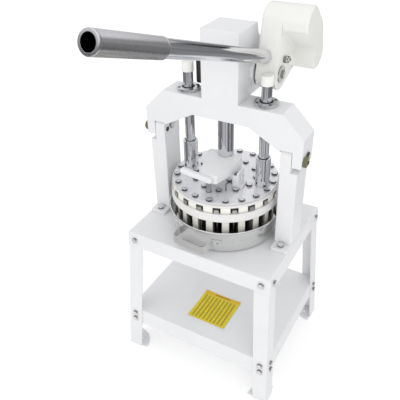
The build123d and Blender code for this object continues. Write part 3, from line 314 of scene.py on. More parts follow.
@dataclass(frozen=True)
class Finish:
    """What every finish has: a name, a colour and a gloss, how these wander, and what settles in its gaps
    along with painted shade there.
    """

    name: str
    colour: Triple
    roughness: float
    edge: float = 0.0006
    cloud: float = 6.0
    dim: float = 0.955
    wander: Pair = (0.05, 0.07)
    # The next three fields give the colour, share and reach of the darkening in corners and gaps: settled
    # dirt and painted shade.
    shade: Triple = (0.60, 0.58, 0.54)
    dust_and_shade: float = 0.35
    gap: float = 0.012
    skin: float = 320.0
    skin_depth: float = 0.00010
    skin_strength: float = 0.5

    def material(self) -> bpy.types.Material:
        """Build the finish; each kind has its own way."""
        raise NotImplementedError

    def open(self) -> tuple[bpy.types.Material, Graph, bpy.types.Node, Socket]:
        """Start the material.

        Returns:
            The material, its graph, its shader and the object coordinates.
        """
        material = bpy.data.materials.new(self.name)
        material.use_nodes = True
        material.node_tree.nodes.clear()
        g = Graph(material.node_tree)
        shader = g.add("ShaderNodeBsdfPrincipled")
        g.add("ShaderNodeOutputMaterial", {0: shader.outputs[0]})
        return material, g, shader, g.add("ShaderNodeTexCoord").outputs["Object"]

    def rgba(self, share: float = 1.0) -> tuple[float, float, float, float]:
        """Colour with alpha, dimmed by a share."""
        return (self.colour[0] * share, self.colour[1] * share, self.colour[2] * share, 1.0)

    def group(self, g: Graph, tree: bpy.types.NodeTree, **inputs: Any) -> bpy.types.Node:
        """Group node that places a shared effect in the material."""
        return g.add("ShaderNodeGroup", inputs, node_tree=tree)

    def mottled(self, g: Graph, place: Socket) -> tuple[Socket, Socket]:
        """Uneven cloud over the surface.

        Args:
            g: the material's graph.
            place: object coordinates.
        Returns:
            The cloud's mask and the colour that it dims.
        """
        cloud = self.group(g, Effects.mottle(), Vector=place, Scale=self.cloud).outputs[0]
        return cloud, g.mix(cloud, self.rgba(self.dim), self.rgba())

    def gloss(self, g: Graph, cloud: Socket) -> Socket:
        """Roughness that wanders with the cloud's mask."""
        return g.span(cloud, self.roughness - self.wander[0], self.roughness + self.wander[1])

    def settled_and_shaded(self, g: Graph, place: Socket, tone: Socket) -> Socket:
        """Colour with what settles in corners and gaps, darkened there with painted shade as well.

        Args:
            g: the material's graph.
            place: object coordinates.
            tone: the clean colour.
        Returns:
            The soiled and shaded colour's socket.
        """
        mask = self.group(g, Effects.gap_dust_and_shade(), Vector=place, Distance=self.gap).outputs[0]
        # Painted shade and settled dirt in corners and gaps.
        return g.mix(g.times(mask, self.dust_and_shade), tone, (*self.shade, 1.0))

    def relief(self, g: Graph, shader: bpy.types.Node, height: Socket, strength: float, depth: float) -> None:
        """Join a height and the rounded edges to the shader's normal.

        Args:
            g: the material's graph.
            shader: the Principled node.
            height: socket of the height.
            strength: how strongly the height shows.
            depth: of the height in metres.
        """
        soft = self.group(g, Effects.soft_edge(), Radius=self.edge).outputs[0]
        inputs = {"Height": height, "Strength": strength, "Distance": depth, "Normal": soft}
        g.fill(shader, {"Normal": g.add("ShaderNodeBump", inputs).outputs[0]})

    def rippled(self, g: Graph, shader: bpy.types.Node, place: Socket) -> None:
        """Give the surface its fine ripple.

        Args:
            g: the material's graph.
            shader: the Principled node.
            place: object coordinates.
        """
        skin = self.group(g, Effects.peel(), Vector=place, Scale=self.skin).outputs[0]
        self.relief(g, shader, skin, self.skin_strength, self.skin_depth)


@dataclass(frozen=True)
class PaintFinish(Finish):
    """Sprayed paint on sheet metal or on a casting."""

    coat: float = 0.35
    coat_roughness: float = 0.18
    ior: float = 1.48

    def material(self) -> bpy.types.Material:
        """Build the paint.

        Returns:
            The new material.
        """
        material, g, shader, place = self.open()
        cloud, tone = self.mottled(g, place)
        g.fill(shader, {
            "Base Color": self.settled_and_shaded(g, place, tone),
            "Roughness": self.gloss(g, cloud),
            "Coat Weight": self.coat,
            "Coat Roughness": self.coat_roughness,
            "IOR": self.ior,
        })
        self.rippled(g, shader, place)
        return material


@dataclass(frozen=True)
class MetalFinish(Finish):
    """Bare or plated metal with marks that run one way."""

    cloud: float = 14.0
    # Darkening in corners and gaps: tarnish and dirt, with painted shade there too.
    shade: Triple = (0.30, 0.29, 0.28)
    dust_and_shade: float = 0.5
    gap: float = 0.006
    skin_depth: float = 0.00002
    skin_strength: float = 0.4
    marks: Marks = Marks.UPRIGHT
    density: float = 900.0
    spread: float = 0.08
    smoothest: float = 0.02
    contrast: float = 0.12
    # Share of the colour left on the flanks of bolt heads: painted shade, with some oil and dirt.
    flank_shade: float = 1.0
    metallic: float = 1.0
    ring_reach: float = 0.15
    facing_up: Pair = (0.6, 0.9)
    facing_out: Pair = (0.97, 0.985)

    def along(self, g: Graph, place: Socket) -> Socket:
        """Vector whose first direction runs along the marks.

        Args:
            g: the material's graph.
            place: object coordinates.
        Returns:
            The vector's socket.
        """
        if self.marks is Marks.ACROSS:
            return place
        if self.marks is Marks.HANDLE:
            inputs = {"Vector": place, "Rotation": (-HANDLE_RISE, 0.0, 0.0)}
            place = g.add("ShaderNodeMapping", inputs, vector_type="TEXTURE").outputs[0]
        x, y, z = g.add("ShaderNodeSeparateXYZ", {0: place}).outputs
        if self.marks is Marks.UPRIGHT:
            order = (z, x, y)
        elif self.marks is Marks.HANDLE:
            order = (y, x, z)
        else:
            square = g.math("ADD", g.times(x, x), g.times(y, y))
            order = (g.times(g.math("ARCTAN2", y, x), self.ring_reach), g.math("SQRT", square), z)
        return g.add("ShaderNodeCombineXYZ", dict(enumerate(order))).outputs[0]

    def unshaded_faces(self, g: Graph) -> Socket:
        """Mask of a bolt's end faces, which keep the full colour while its flanks are darkened as painted
        shade, with some oil and dirt.

        Args:
            g: the material's graph.
        Returns:
            A socket that is 1 where the face looks along X, Y or Z.
        """
        x, y, z = g.add("ShaderNodeSeparateXYZ", {0: g.add("ShaderNodeTexCoord").outputs["Normal"]}).outputs
        if self.marks is Marks.AROUND:
            return g.share(z, *self.facing_up)
        return g.share(g.math("MAXIMUM", g.math("ABSOLUTE", x), g.math("ABSOLUTE", y)), *self.facing_out)

    def material(self) -> bpy.types.Material:
        """Build the metal.

        Returns:
            The new material.
        """
        material, g, shader, place = self.open()
        lines = self.group(g, Effects.brushing(), Vector=self.along(g, place), Density=self.density)
        cloud = self.group(g, Effects.mottle(), Vector=place, Scale=self.cloud)
        uneven = g.math("MULTIPLY", g.math("ADD", lines.outputs["Streak"], cloud.outputs[0]), 0.5, clamp=True)
        tone = g.mix(uneven, self.rgba(1.0 - self.contrast), self.rgba())
        # Painted shade: flanks darker than end faces, by which way the surface faces.
        if self.flank_shade < 1.0:
            tone = g.mix(self.unshaded_faces(g), self.rgba(self.flank_shade), tone)
        smooth = max(self.smoothest, self.roughness - self.spread / 2)
        g.fill(shader, {
            "Base Color": self.settled_and_shaded(g, place, tone),
            "Roughness": g.span(uneven, self.roughness + self.spread, smooth),
            "Metallic": self.metallic,
        })
        self.relief(g, shader, lines.outputs["Height"], self.skin_strength, self.skin_depth)
        return material


@dataclass(frozen=True)
class NylonFinish(Finish):
    """Turned or moulded nylon, slightly waxy."""

    cloud: float = 11.0
    dim: float = 0.94
    wander: Pair = (0.06, 0.08)
    # Darkening in corners and gaps: dirt, with painted shade there too.
    shade: Triple = (0.55, 0.50, 0.42)
    dust_and_shade: float = 0.5
    gap: float = 0.01
    skin: float = 700.0
    skin_depth: float = 0.00006
    skin_strength: float = 0.3
    ior: float = 1.53
    wax: float = 0.08
    wax_depth: Triple = (0.004, 0.003, 0.002)

    def material(self) -> bpy.types.Material:
        """Build the nylon.

        Returns:
            The new material.
        """
        material, g, shader, place = self.open()
        cloud, tone = self.mottled(g, place)
        g.fill(shader, {
            "Base Color": self.settled_and_shaded(g, place, tone),
            "Roughness": self.gloss(g, cloud),
            "IOR": self.ior,
            "Subsurface Weight": self.wax,
            "Subsurface Radius": self.wax_depth,
        })
        self.rippled(g, shader, place)
        return material


@dataclass(frozen=True)
class DarkFinish(Finish):
    """Black iron paint, oxide or rubber with a dusty bloom."""

    cloud: float = 30.0
    wander: Pair = (0.08, 0.10)
    skin: float = 420.0
    skin_depth: float = 0.00018
    bloom: Triple = (0.16, 0.16, 0.16)
    haze: float = 0.3
    metallic: float = 0.0

    def material(self) -> bpy.types.Material:
        """Build the dark surface.

        Returns:
            The new material.
        """
        material, g, shader, place = self.open()
        cloud = self.group(g, Effects.mottle(), Vector=place, Scale=self.cloud).outputs[0]
        g.fill(shader, {
            "Base Color": g.mix(g.times(cloud, self.haze), self.rgba(), (*self.bloom, 1.0)),
            "Roughness": self.gloss(g, cloud),
            "Metallic": self.metallic,
        })
        self.rippled(g, shader, place)
        return material


@dataclass(frozen=True)
class CardFinish(Finish):
    """Printed card: a plain header bar over ruled columns, with no lettering."""

    cloud: float = 40.0
    dim: float = 0.9
    wander: Pair = (0.05, 0.08)
    skin: float = 500.0
    skin_depth: float = 0.00005
    skin_strength: float = 0.2
    centre: Pair = (0.0075, -0.096)
    size: Pair = (0.140, 0.138)
    ink: Triple = (0.16, 0.095, 0.008)
    header: Triple = (0.72, 0.46, 0.02)
    header_from: float = 0.88
    bar_down: Pair = (0.925, 0.965)
    bar_across: Pair = (0.3, 0.72)
    bar_ink: float = 0.7
    body_down: Pair = (0.04, 0.86)
    body_across: Pair = (0.03, 0.97)
    columns: int = 10
    column_shift: float = 0.3
    rule_across: Pair = (0.06, 0.46)
    rule_ink: float = 0.62
    rows: int = 22
    tick_down: Pair = (0.2, 0.75)
    tick_across: Pair = (0.50, 0.95)
    tick_rarity: float = 0.55
    tick_ink: float = 0.30

    def band(self, g: Graph, value: Socket, limits: Pair) -> Socket:
        """Mask of a value between two limits.

        Args:
            g: the material's graph.
            value: socket to test.
            limits: lower and upper limit.
        Returns:
            A socket that is 1 between the limits and 0 outside them.
        """
        return g.times(g.math("GREATER_THAN", value, limits[0]), g.math("LESS_THAN", value, limits[1]))

    def share_along(self, g: Graph, place: Socket, axis: int) -> Socket:
        """Share of the card's side that a place has passed, from 0 to 1.

        Args:
            g: the material's graph.
            place: one object coordinate.
            axis: 0 across the card, 1 along it.
        Returns:
            The share's socket.
        """
        passed = g.math("DIVIDE", g.math("SUBTRACT", place, self.centre[axis]), self.size[axis])
        return g.math("ADD", passed, 0.5)

    def printing(self, g: Graph, across: Socket, down: Socket) -> Socket:
        """Ink of the rules, the ticks between them and the header's bar.

        Args:
            g: the material's graph.
            across: share of the card's width.
            down: share of its length.
        Returns:
            The ink's strength as a socket.
        """
        column = g.math("FRACT", g.math("ADD", g.times(across, float(self.columns)), self.column_shift))
        row = g.math("FRACT", g.times(down, float(self.rows)))
        cells = g.add("ShaderNodeCombineXYZ", {
            0: g.math("FLOOR", g.times(across, self.columns * 2.0)),
            1: g.math("FLOOR", g.times(down, float(self.rows))),
        })
        inputs = {"Vector": cells.outputs[0]}
        chance = g.add("ShaderNodeTexWhiteNoise", inputs, noise_dimensions="2D").outputs[0]
        ticks = g.times(self.band(g, row, self.tick_down), self.band(g, column, self.tick_across))
        ticks = g.times(ticks, g.math("GREATER_THAN", chance, self.tick_rarity))
        rules = self.band(g, column, self.rule_across)
        body = g.math("MAXIMUM", g.times(ticks, self.tick_ink), g.times(rules, self.rule_ink))
        inside = g.times(self.band(g, down, self.body_down), self.band(g, across, self.body_across))
        bar = g.times(self.band(g, down, self.bar_down), self.band(g, across, self.bar_across))
        return g.math("MAXIMUM", g.times(body, inside), g.times(bar, self.bar_ink))

    def material(self) -> bpy.types.Material:
        """Build the card.

        Returns:
            The new material.
        """
        material, g, shader, place = self.open()
        x, y, _ = g.add("ShaderNodeSeparateXYZ", {0: place}).outputs
        across = self.share_along(g, x, 0)
        down = self.share_along(g, y, 1)
        cloud, paper = self.mottled(g, place)
        paper = g.mix(g.math("GREATER_THAN", down, self.header_from), paper, (*self.header, 1.0))
        g.fill(shader, {
            "Base Color": g.mix(self.printing(g, across, down), paper, (*self.ink, 1.0)),
            "Roughness": self.gloss(g, cloud),
        })
        self.rippled(g, shader, place)
        return material


WHITE = PaintFinish("white_paint", (0.80, 0.805, 0.82), 0.34, edge=0.0012)
WARM_WHITE = PaintFinish("warm_white_paint", (0.84, 0.84, 0.81), 0.36, edge=0.0015, skin_depth=0.00016)
ZINC = MetalFinish("zinc_plate", (0.70, 0.71, 0.73), 0.24, marks=Marks.AROUND, density=500.0)
OXIDE = DarkFinish("dark_steel", (0.06, 0.058, 0.055), 0.38, metallic=0.85, bloom=(0.25, 0.23, 0.21))
# Lock nuts: flanks darkened to a quarter as painted shade.
YELLOW_ZINC = MetalFinish(
    "yellow_zinc", (0.70, 0.69, 0.40), 0.30, marks=Marks.ACROSS, density=500.0, flank_shade=0.25, metallic=0.6)
# Flanks darkened as painted shade.
BRIGHT_BOLT = MetalFinish(
    "bright_bolt", (0.86, 0.86, 0.85), 0.26, marks=Marks.ACROSS, density=500.0, flank_shade=0.28, metallic=0.5)
IRON = DarkFinish("black_iron", (0.018, 0.018, 0.019), 0.42)
RUBBER = DarkFinish("black_rubber", (0.012, 0.012, 0.012), 0.62, skin=900.0, skin_depth=0.0001)
CHROME = MetalFinish("chrome", (0.74, 0.75, 0.77), 0.09, spread=0.05, contrast=0.06)
HANDLE_CHROME = MetalFinish(
    "handle_chrome", (0.74, 0.75, 0.77), 0.10, spread=0.05, contrast=0.06, marks=Marks.HANDLE)
KNURL = MetalFinish("knurled_chrome", (0.74, 0.74, 0.75), 0.24, marks=Marks.HANDLE, contrast=0.2)
BRONZE = MetalFinish("bearing_bronze", (0.55, 0.38, 0.17), 0.30, shade=(0.20, 0.12, 0.05))
MACHINED = MetalFinish("machined_steel", (0.46, 0.46, 0.47), 0.28, marks=Marks.ACROSS)
GROUND = MetalFinish(
    "ground_steel", (0.84, 0.84, 0.84), 0.34, marks=Marks.ACROSS, contrast=0.08, metallic=0.4)
WHITE_NYLON = NylonFinish("white_nylon", (0.86, 0.86, 0.83), 0.42, edge=0.001)
RING_NYLON = NylonFinish("ring_nylon", (0.77, 0.765, 0.755), 0.42, edge=0.001)
# Cream nylon whose gaps get near-black painted shade at almost full share, so the slots between the fingers
# look dark.
CREAM_NYLON = NylonFinish(
    "cream_nylon", (0.87, 0.86, 0.79), 0.45, edge=0.001, shade=(0.05, 0.04, 0.03), dust_and_shade=0.95, gap=0.020)
PLATE = MetalFinish(
    "satin_plate", (0.88, 0.88, 0.90), 0.30, marks=Marks.AROUND, density=700.0, contrast=0.08, metallic=0.5)
STAINLESS = MetalFinish("ring_brushed_stainless", (0.84, 0.84, 0.83), 0.22, marks=Marks.AROUND, contrast=0.15)
BLADE = MetalFinish("blade_stainless", (0.45, 0.45, 0.45), 0.30, marks=Marks.UPRIGHT, contrast=0.25)
# Painted shade: near-black copy of the blade steel for the blades deep between the fingers.
DARK_BLADE = MetalFinish("painted_shade_blade", (0.03, 0.03, 0.03), 0.35, marks=Marks.UPRIGHT, contrast=0.25)
# Press bolts: flanks darkened strongly as painted shade, with oil on them.
OILED_SHADED_ZINC = MetalFinish(
    "oiled_and_shaded_zinc", (0.76, 0.77, 0.79), 0.26, marks=Marks.AROUND, density=500.0, flank_shade=0.12)
# Column bolts: flanks darkened as painted shade.
GREY_ZINC = MetalFinish("grey_zinc", (0.78, 0.79, 0.81), 0.26, marks=Marks.AROUND, density=500.0, flank_shade=0.45)
CARD = CardFinish("printed_card", (0.76, 0.62, 0.018), 0.42, edge=0.0002)


@dataclass
class Placed:
    """Sub-assembly that dresses its CAD nodes and adds the pieces that the frame leaves plain."""

    body: str
    finishes: dict[str, Finish]
    added: list[str] = field(default_factory=list)

    def dress(self) -> None:
        """Give each CAD node its finish."""
        for node, finish in self.finishes.items():
            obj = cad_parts[node]
            obj.data.materials.clear()
            obj.data.materials.append(Paintbox.of(finish))

    def build(self) -> None:
        """Add the pieces of its own; a sub-assembly with none leaves this as it is."""

    def piece(self, name: str, shape: bmesh.types.BMesh, finish: Finish, slot: str, *nodes: str) -> None:
        """Turn a finished shape into a piece that rides on this body.

        Args:
            name: the piece's name.
            shape: the bmesh, which is freed.
            finish: what it is made of.
            slot: the record's material slot; not used.
            nodes: CAD nodes that it stands for.
        """
        mesh = bpy.data.meshes.new(name)
        shape.to_mesh(mesh)
        shape.free()
        mesh.shade_smooth()
        mesh.set_sharp_from_angle(angle=SMOOTH_ANGLE)
        mesh.materials.append(Paintbox.of(finish))
        obj = bpy.data.objects.new(name, mesh)
        bpy.context.scene.collection.objects.link(obj)
        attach(obj, self.body)
        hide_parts(*nodes)
        self.added.append(name)


class Paintbox:
    """Materials by finish, each made once."""

    @staticmethod
    @cache
    def of(finish: Finish) -> bpy.types.Material:
        """Material of a finish."""
        return finish.material()


def facing(place: Vector, direction: Vector) -> Matrix:
    """Transform that stands a shape on a place, its Z along a direction.

    Args:
        place: where the shape's origin goes.
        direction: where its Z axis points.
    Returns:
        The 4 by 4 matrix.
    """
    return Matrix.Translation(place) @ direction.to_track_quat("Z", "Y").to_matrix().to_4x4()


def repeat(master: bmesh.types.BMesh, places: list[Matrix]) -> bmesh.types.BMesh:
    """Copy a shape to several places in one mesh.

    Args:
        master: the shape, which is freed.
        places: a transform for each copy.
    Returns:
        The mesh with all copies.
    """
    mesh = bpy.data.meshes.new("master")
    master.to_mesh(mesh)
    master.free()
    shape = bmesh.new()
    for place in places:
        before = set(shape.verts)
        shape.from_mesh(mesh)
        bmesh.ops.transform(shape, matrix=place, verts=[v for v in shape.verts if v not in before])
    bpy.data.meshes.remove(mesh)
    return shape


def edges_of(verts: list[bmesh.types.BMVert]) -> list[bmesh.types.BMEdge]:
    """Edges whose two ends are both among some vertices."""
    chosen = set(verts)
    return list({e for v in verts for e in v.link_edges if e.verts[0] in chosen and e.verts[1] in chosen})


def socket_head(radius: float, height: float, socket: float) -> bmesh.types.BMesh:
    """Cap screw's head with a hexagon socket, standing on Z = 0.

    Args:
        radius: of the head.
        height: of the head.
        socket: radius of the socket's corners.
    Returns:
        The head as a bmesh.
    """
    bm = bmesh.new()
    rim = bmesh.ops.create_circle(bm, cap_ends=False, segments=ROUND_STEPS, radius=radius)["verts"]
    rim_edges = edges_of(rim)
    wall = bmesh.ops.extrude_edge_only(bm, edges=rim_edges)["geom"]
    top = [v for v in wall if isinstance(v, bmesh.types.BMVert)]
    bmesh.ops.translate(bm, verts=top, vec=UP * height)
    top_edges = edges_of(top)
    mouth = bmesh.ops.create_circle(bm, cap_ends=False, segments=ROUND_STEPS, radius=socket)["verts"]
    sixth = math.tau / 6
    for vert in mouth:
        off_flat = math.atan2(vert.co.y, vert.co.x) % sixth - sixth / 2
        vert.co *= math.cos(sixth / 2) / math.cos(off_flat)
    bmesh.ops.translate(bm, verts=mouth, vec=UP * height)
    mouth_edges = edges_of(mouth)
    bmesh.ops.bridge_loops(bm, edges=top_edges + mouth_edges)
    well = bmesh.ops.extrude_edge_only(bm, edges=mouth_edges)["geom"]
    floor = [v for v in well if isinstance(v, bmesh.types.BMVert)]
    bmesh.ops.translate(bm, verts=floor, vec=UP * (-SOCKET_DEPTH * height))
    bmesh.ops.edgeloop_fill(bm, edges=edges_of(floor))
    bmesh.ops.edgeloop_fill(bm, edges=rim_edges)
    bmesh.ops.bevel(
        bm, geom=top_edges, offset=HEAD_BEVEL * radius, offset_type="OFFSET", segments=HEAD_BEVEL_STEPS,
        profile=0.5, affect="EDGES", material=-1)
    bmesh.ops.recalc_face_normals(bm, faces=bm.faces)
    return bm


def dome(radius: float, rise: float) -> bmesh.types.BMesh:
    """Rivet's domed head standing on Z = 0.

    Args:
        radius: at its foot.
        rise: of its crown.
    Returns:
        The dome as a bmesh.
    """
    bm = bmesh.new()
    bmesh.ops.create_uvsphere(bm, u_segments=ROUND_STEPS, v_segments=DOME_STEPS, radius=radius)
    geom = bm.verts[:] + bm.edges[:] + bm.faces[:]
    halved = bmesh.ops.bisect_plane(bm, geom=geom, plane_co=(0, 0, 0), plane_no=-UP, clear_outer=True)
    cut = halved["geom_cut"]
    bmesh.ops.edgeloop_fill(bm, edges=[e for e in cut if isinstance(e, bmesh.types.BMEdge)])
    bmesh.ops.scale(bm, verts=bm.verts, vec=(1.0, 1.0, rise / radius))
    bmesh.ops.recalc_face_normals(bm, faces=bm.faces)
    return bm


@dataclass
class Stand(Placed):
    """Table, legs and shelf with the card that lies on it."""

    body: str = "frame"
    finishes: dict[str, Finish] = field(default_factory=lambda: {
        "table_top": WHITE,
        "leg_front_left": WHITE,
        "leg_front_right": WHITE,
        "leg_rear_left": WHITE,
        "leg_rear_right": WHITE,
        "foot_plates": WHITE,
        "shelf": WHITE,
        "stand_bolts": BRIGHT_BOLT,
        "stand_nuts": ZINC,
        "shelf_card": CARD,
    })
    card_bow: float = 0.0022
    card_side_share: float = 0.3
    card_corner_share: float = 0.7
    card_corner_power: float = 1.5
    card_steps: int = 16

    def build(self) -> None:
        """Lay the card, its corners a little off the shelf."""
        low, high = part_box("shelf_card")
        middle = (low + high) / 2
        half = (high - low) / 2
        bm = bmesh.new()
        bmesh.ops.create_grid(bm, x_segments=self.card_steps, y_segments=self.card_steps, size=1.0)
        for vert in bm.verts:
            x, y, _ = vert.co
            corner = self.card_corner_share * abs(x * y) ** self.card_corner_power
            lift = self.card_bow * (self.card_side_share * x**2 + corner)
            vert.co = Vector((middle.x + half.x * x, middle.y + half.y * y, low.z + lift))
        bmesh.ops.recalc_face_normals(bm, faces=bm.faces)
        bmesh.ops.solidify(bm, geom=bm.faces[:], thickness=-(high.z - low.z))
        bmesh.ops.recalc_face_normals(bm, faces=bm.faces)
        self.piece("bowed_card", bm, CARD, "yellow_card", "shelf_card")


@dataclass
class PressFrame(Placed):
    """Columns, crosshead with the gear housing, and the bearings in it."""

    body: str = "frame"
    finishes: dict[str, Finish] = field(default_factory=lambda: {
        "column_left": WHITE,
        "column_right": WHITE,
        "column_bolts": GREY_ZINC,
        "column_nuts": ZINC,
        "crosshead": WHITE,
        "rear_cover": WHITE,
        "cover_screws": ZINC,
        "pivot_bolts": BRIGHT_BOLT,
        "pivot_nuts": OXIDE,
        "lock_bolts": OXIDE,
        "lock_nuts": YELLOW_ZINC,
        "linear_bearings": ZINC,
        "bearing_screws": OXIDE,
        "bearing_seals": RUBBER,
        "ram_bush": BRONZE,
        "bearing_block": IRON,
        "bearing_flange": WHITE,
        "shaft_bearing_screws": OXIDE,
    })
    rod_x: float = 0.1245
    flange_top: float = 0.962
    bearing_screw_circle: float = 0.027
    bearing_head: Triple = (0.0045, 0.0045, 0.0023)
    bearing_head_drop: float = 0.005
    shaft_screw_circle: float = 0.030
    shaft_faces: Pair = (-0.1095, 0.070)
    shaft_head: Triple = (0.006, 0.004, 0.0032)
    cover_x: float = 0.05275
    cover_heights: Pair = (0.967, 1.028)
    cover_face: float = 0.124
    cover_head: Triple = (0.004, 0.002, 0.0019)

    def quarters(self, circle: float) -> list[Pair]:
        """Four places on a circle, between the axes."""
        step = circle * math.sqrt(0.5)
        return [(step, step), (-step, step), (-step, -step), (step, -step)]

    def build(self) -> None:
        """Cut sockets into the screws of the bearings and of the rear cover."""
        seat = self.flange_top - self.bearing_head_drop
        places = []
        for side in (-1.0, 1.0):
            for x, y in self.quarters(self.bearing_screw_circle):
                places.append(facing(Vector((side * self.rod_x + x, y, seat)), UP))
        heads = repeat(socket_head(*self.bearing_head), places)
        self.piece("bearing_socket_screws", heads, OXIDE, "dark_steel", "bearing_screws")
        places = []
        for face, side in zip(self.shaft_faces, (-1.0, 1.0)):
            for y, z in self.quarters(self.shaft_screw_circle):
                at = Vector((face, SHAFT_PLACE[0] + y, SHAFT_PLACE[1] + z))
                places.append(facing(at, Vector((side, 0.0, 0.0))))
        heads = repeat(socket_head(*self.shaft_head), places)
        self.piece("shaft_socket_screws", heads, OXIDE, "dark_steel", "shaft_bearing_screws")
        places = []
        for x in (-self.cover_x, self.cover_x):
            for z in self.cover_heights:
                places.append(facing(Vector((x, self.cover_face, z)), Vector((0.0, 1.0, 0.0))))
        heads = repeat(socket_head(*self.cover_head), places)
        self.piece("cover_button_screws", heads, ZINC, "zinc_fastener", "cover_screws")


@dataclass
class Lever(Placed):
    """Lever casting with its counterweight, shaft, pinion and handle."""

    body: str = "lever"
    finishes: dict[str, Finish] = field(default_factory=lambda: {
        "pinion_shaft": GROUND,
        "shaft_keys": MACHINED,
        "pinion": MACHINED,
        "lever_arm": WARM_WHITE,
        "handle_tube": HANDLE_CHROME,
        "handle_grip": KNURL,
        "handle_cross_bolts": BRIGHT_BOLT,
        "shaft_end_bolt": BRIGHT_BOLT,
    })
    handle_x: float = 0.100
    offset: float = 0.040
    reach: float = 0.765
    grip_length: float = 0.203
    grip_radius: float = 0.0215
    bore: float = 0.01905
    collar: float = 0.004
    knurl_depth: float = 0.0007
    knurl_rows: int = 96
    knurl_around: int = 96
    end_round: float = 0.0022
    end_steps: int = 4

    def build(self) -> None:
        """Roll the grip's diamond knurl between two plain collars."""
        bm = bmesh.new()
        outer = self.grip_radius
        pitch = (self.grip_length - 2 * self.collar) / self.knurl_rows
        rounded = []
        for step in range(self.end_steps + 1):
            turn = math.radians(90.0 * step / self.end_steps)
            inset = self.end_round * (1 - math.sin(turn))
            rounded.append((outer - inset, self.end_round * (1 - math.cos(turn))))
        profile = [(self.bore, 0.0)] + rounded
        profile += [(outer, self.collar + pitch * row) for row in range(self.knurl_rows + 1)]
        profile += [(radius, self.grip_length - z) for radius, z in reversed(rounded)]
        profile.append((self.bore, self.grip_length))
        line = [bm.verts.new((radius, 0.0, z)) for radius, z in profile]
        edges = [bm.edges.new((line[i], line[i - 1])) for i in range(len(line))]
        bmesh.ops.spin(
            bm, geom=line + edges, cent=(0, 0, 0), axis=UP, angle=math.tau, steps=self.knurl_around,
            use_merge=True)
        bmesh.ops.remove_doubles(bm, verts=bm.verts, dist=SAME_PLACE)
        for vert in bm.verts:
            row = (vert.co.z - self.collar) / pitch
            if vert.co.xy.length > outer - ON_SURFACE and 0.5 < row < self.knurl_rows - 0.5:
                column = math.atan2(vert.co.y, vert.co.x) / math.tau * self.knurl_around
                if (round(row) + round(column)) % 2:
                    vert.co.xy *= 1.0 - self.knurl_depth / outer
        bmesh.ops.recalc_face_normals(bm, faces=bm.faces)
        direction = Vector((0.0, -math.cos(HANDLE_RISE), math.sin(HANDLE_RISE)))
        foot = Vector((
            self.handle_x,
            SHAFT_PLACE[0] + self.offset * math.sin(HANDLE_RISE),
            SHAFT_PLACE[1] + self.offset * math.cos(HANDLE_RISE),
        ))
        start = foot + direction * (self.reach - self.grip_length)
        bmesh.ops.transform(bm, matrix=facing(start, direction), verts=bm.verts)
        self.piece("knurled_grip", bm, KNURL, "knurled_chrome", "handle_grip")


@dataclass
class RamAssembly(Placed):
    """Ram, yoke, guide rods and the cutter below them."""

    body: str = "ram_assembly"
    finishes: dict[str, Finish] = field(default_factory=lambda: {
        "ram": CHROME,
        "yoke": WHITE,
        "yoke_posts": MACHINED,
        "guide_rods": CHROME,
        "rod_caps": WHITE_NYLON,
        "cutter_ring": RING_NYLON,
        "blade_clips": STAINLESS,
        "outer_blades": BLADE,
        # Blades deep in the cutter get the near-black painted-shade copy of the blade steel.
        "middle_blades": DARK_BLADE,
        "inner_blades": DARK_BLADE,
        "ring_blades": DARK_BLADE,
    })


@dataclass
class PressHead(Placed):
    """Press plate with the fingers under it, the sleeves and the catch on it."""

    body: str = "press_head"
    finishes: dict[str, Finish] = field(default_factory=lambda: {
        "press_plate": PLATE,
        "backing_plate": RING_NYLON,
        "outer_fingers": CREAM_NYLON,
        "middle_fingers": CREAM_NYLON,
        "inner_fingers": CREAM_NYLON,
        "press_bolts": OILED_SHADED_ZINC,
        "guide_sleeves": CHROME,
        "catch_bracket": WHITE,
        "catch_wire": IRON,
    })


@dataclass
class Latch(Placed):
    """Latch lever on the yoke's front."""

    body: str = "latch"
    finishes: dict[str, Finish] = field(default_factory=lambda: {"latch_lever": WHITE})


@dataclass
class Pan(Placed):
    """Dough pan with its strap handles and their rivets."""

    body: str = "pan_body"
    finishes: dict[str, Finish] = field(default_factory=lambda: {
        "pan": STAINLESS,
        "pan_handles": STAINLESS,
        "pan_rivets": ZINC,
    })
    floor: float = 0.516
    base_radius: float = 0.171
    rim_radius: float = 0.180
    height: float = 0.080
    rivet_height: float = 0.0375
    strap: float = 0.00255
    handle_azimuth: float = 84.4
    rivet_angle: float = 25.0
    rivet_radius: float = 0.0045
    rivet_rise: float = 0.002

    def build(self) -> None:
        """Set the rivets' domed heads."""
        flare = self.rim_radius - self.base_radius
        slope = math.atan2(flare, self.height)
        radius = self.base_radius + flare * self.rivet_height / self.height + self.strap
        level = UP * (self.floor + self.rivet_height)
        places = []
        for azimuth in (self.handle_azimuth, self.handle_azimuth + 180.0):
            for side in (-1.0, 1.0):
                angle = math.radians(azimuth + side * self.rivet_angle)
                out = Vector((math.cos(angle), math.sin(angle), 0.0))
                normal = out * math.cos(slope) - UP * math.sin(slope)
                places.append(facing(out * radius + level, normal))
        heads = repeat(dome(self.rivet_radius, self.rivet_rise), places)
        self.piece("domed_rivets", heads, ZINC, "stainless", "pan_rivets")


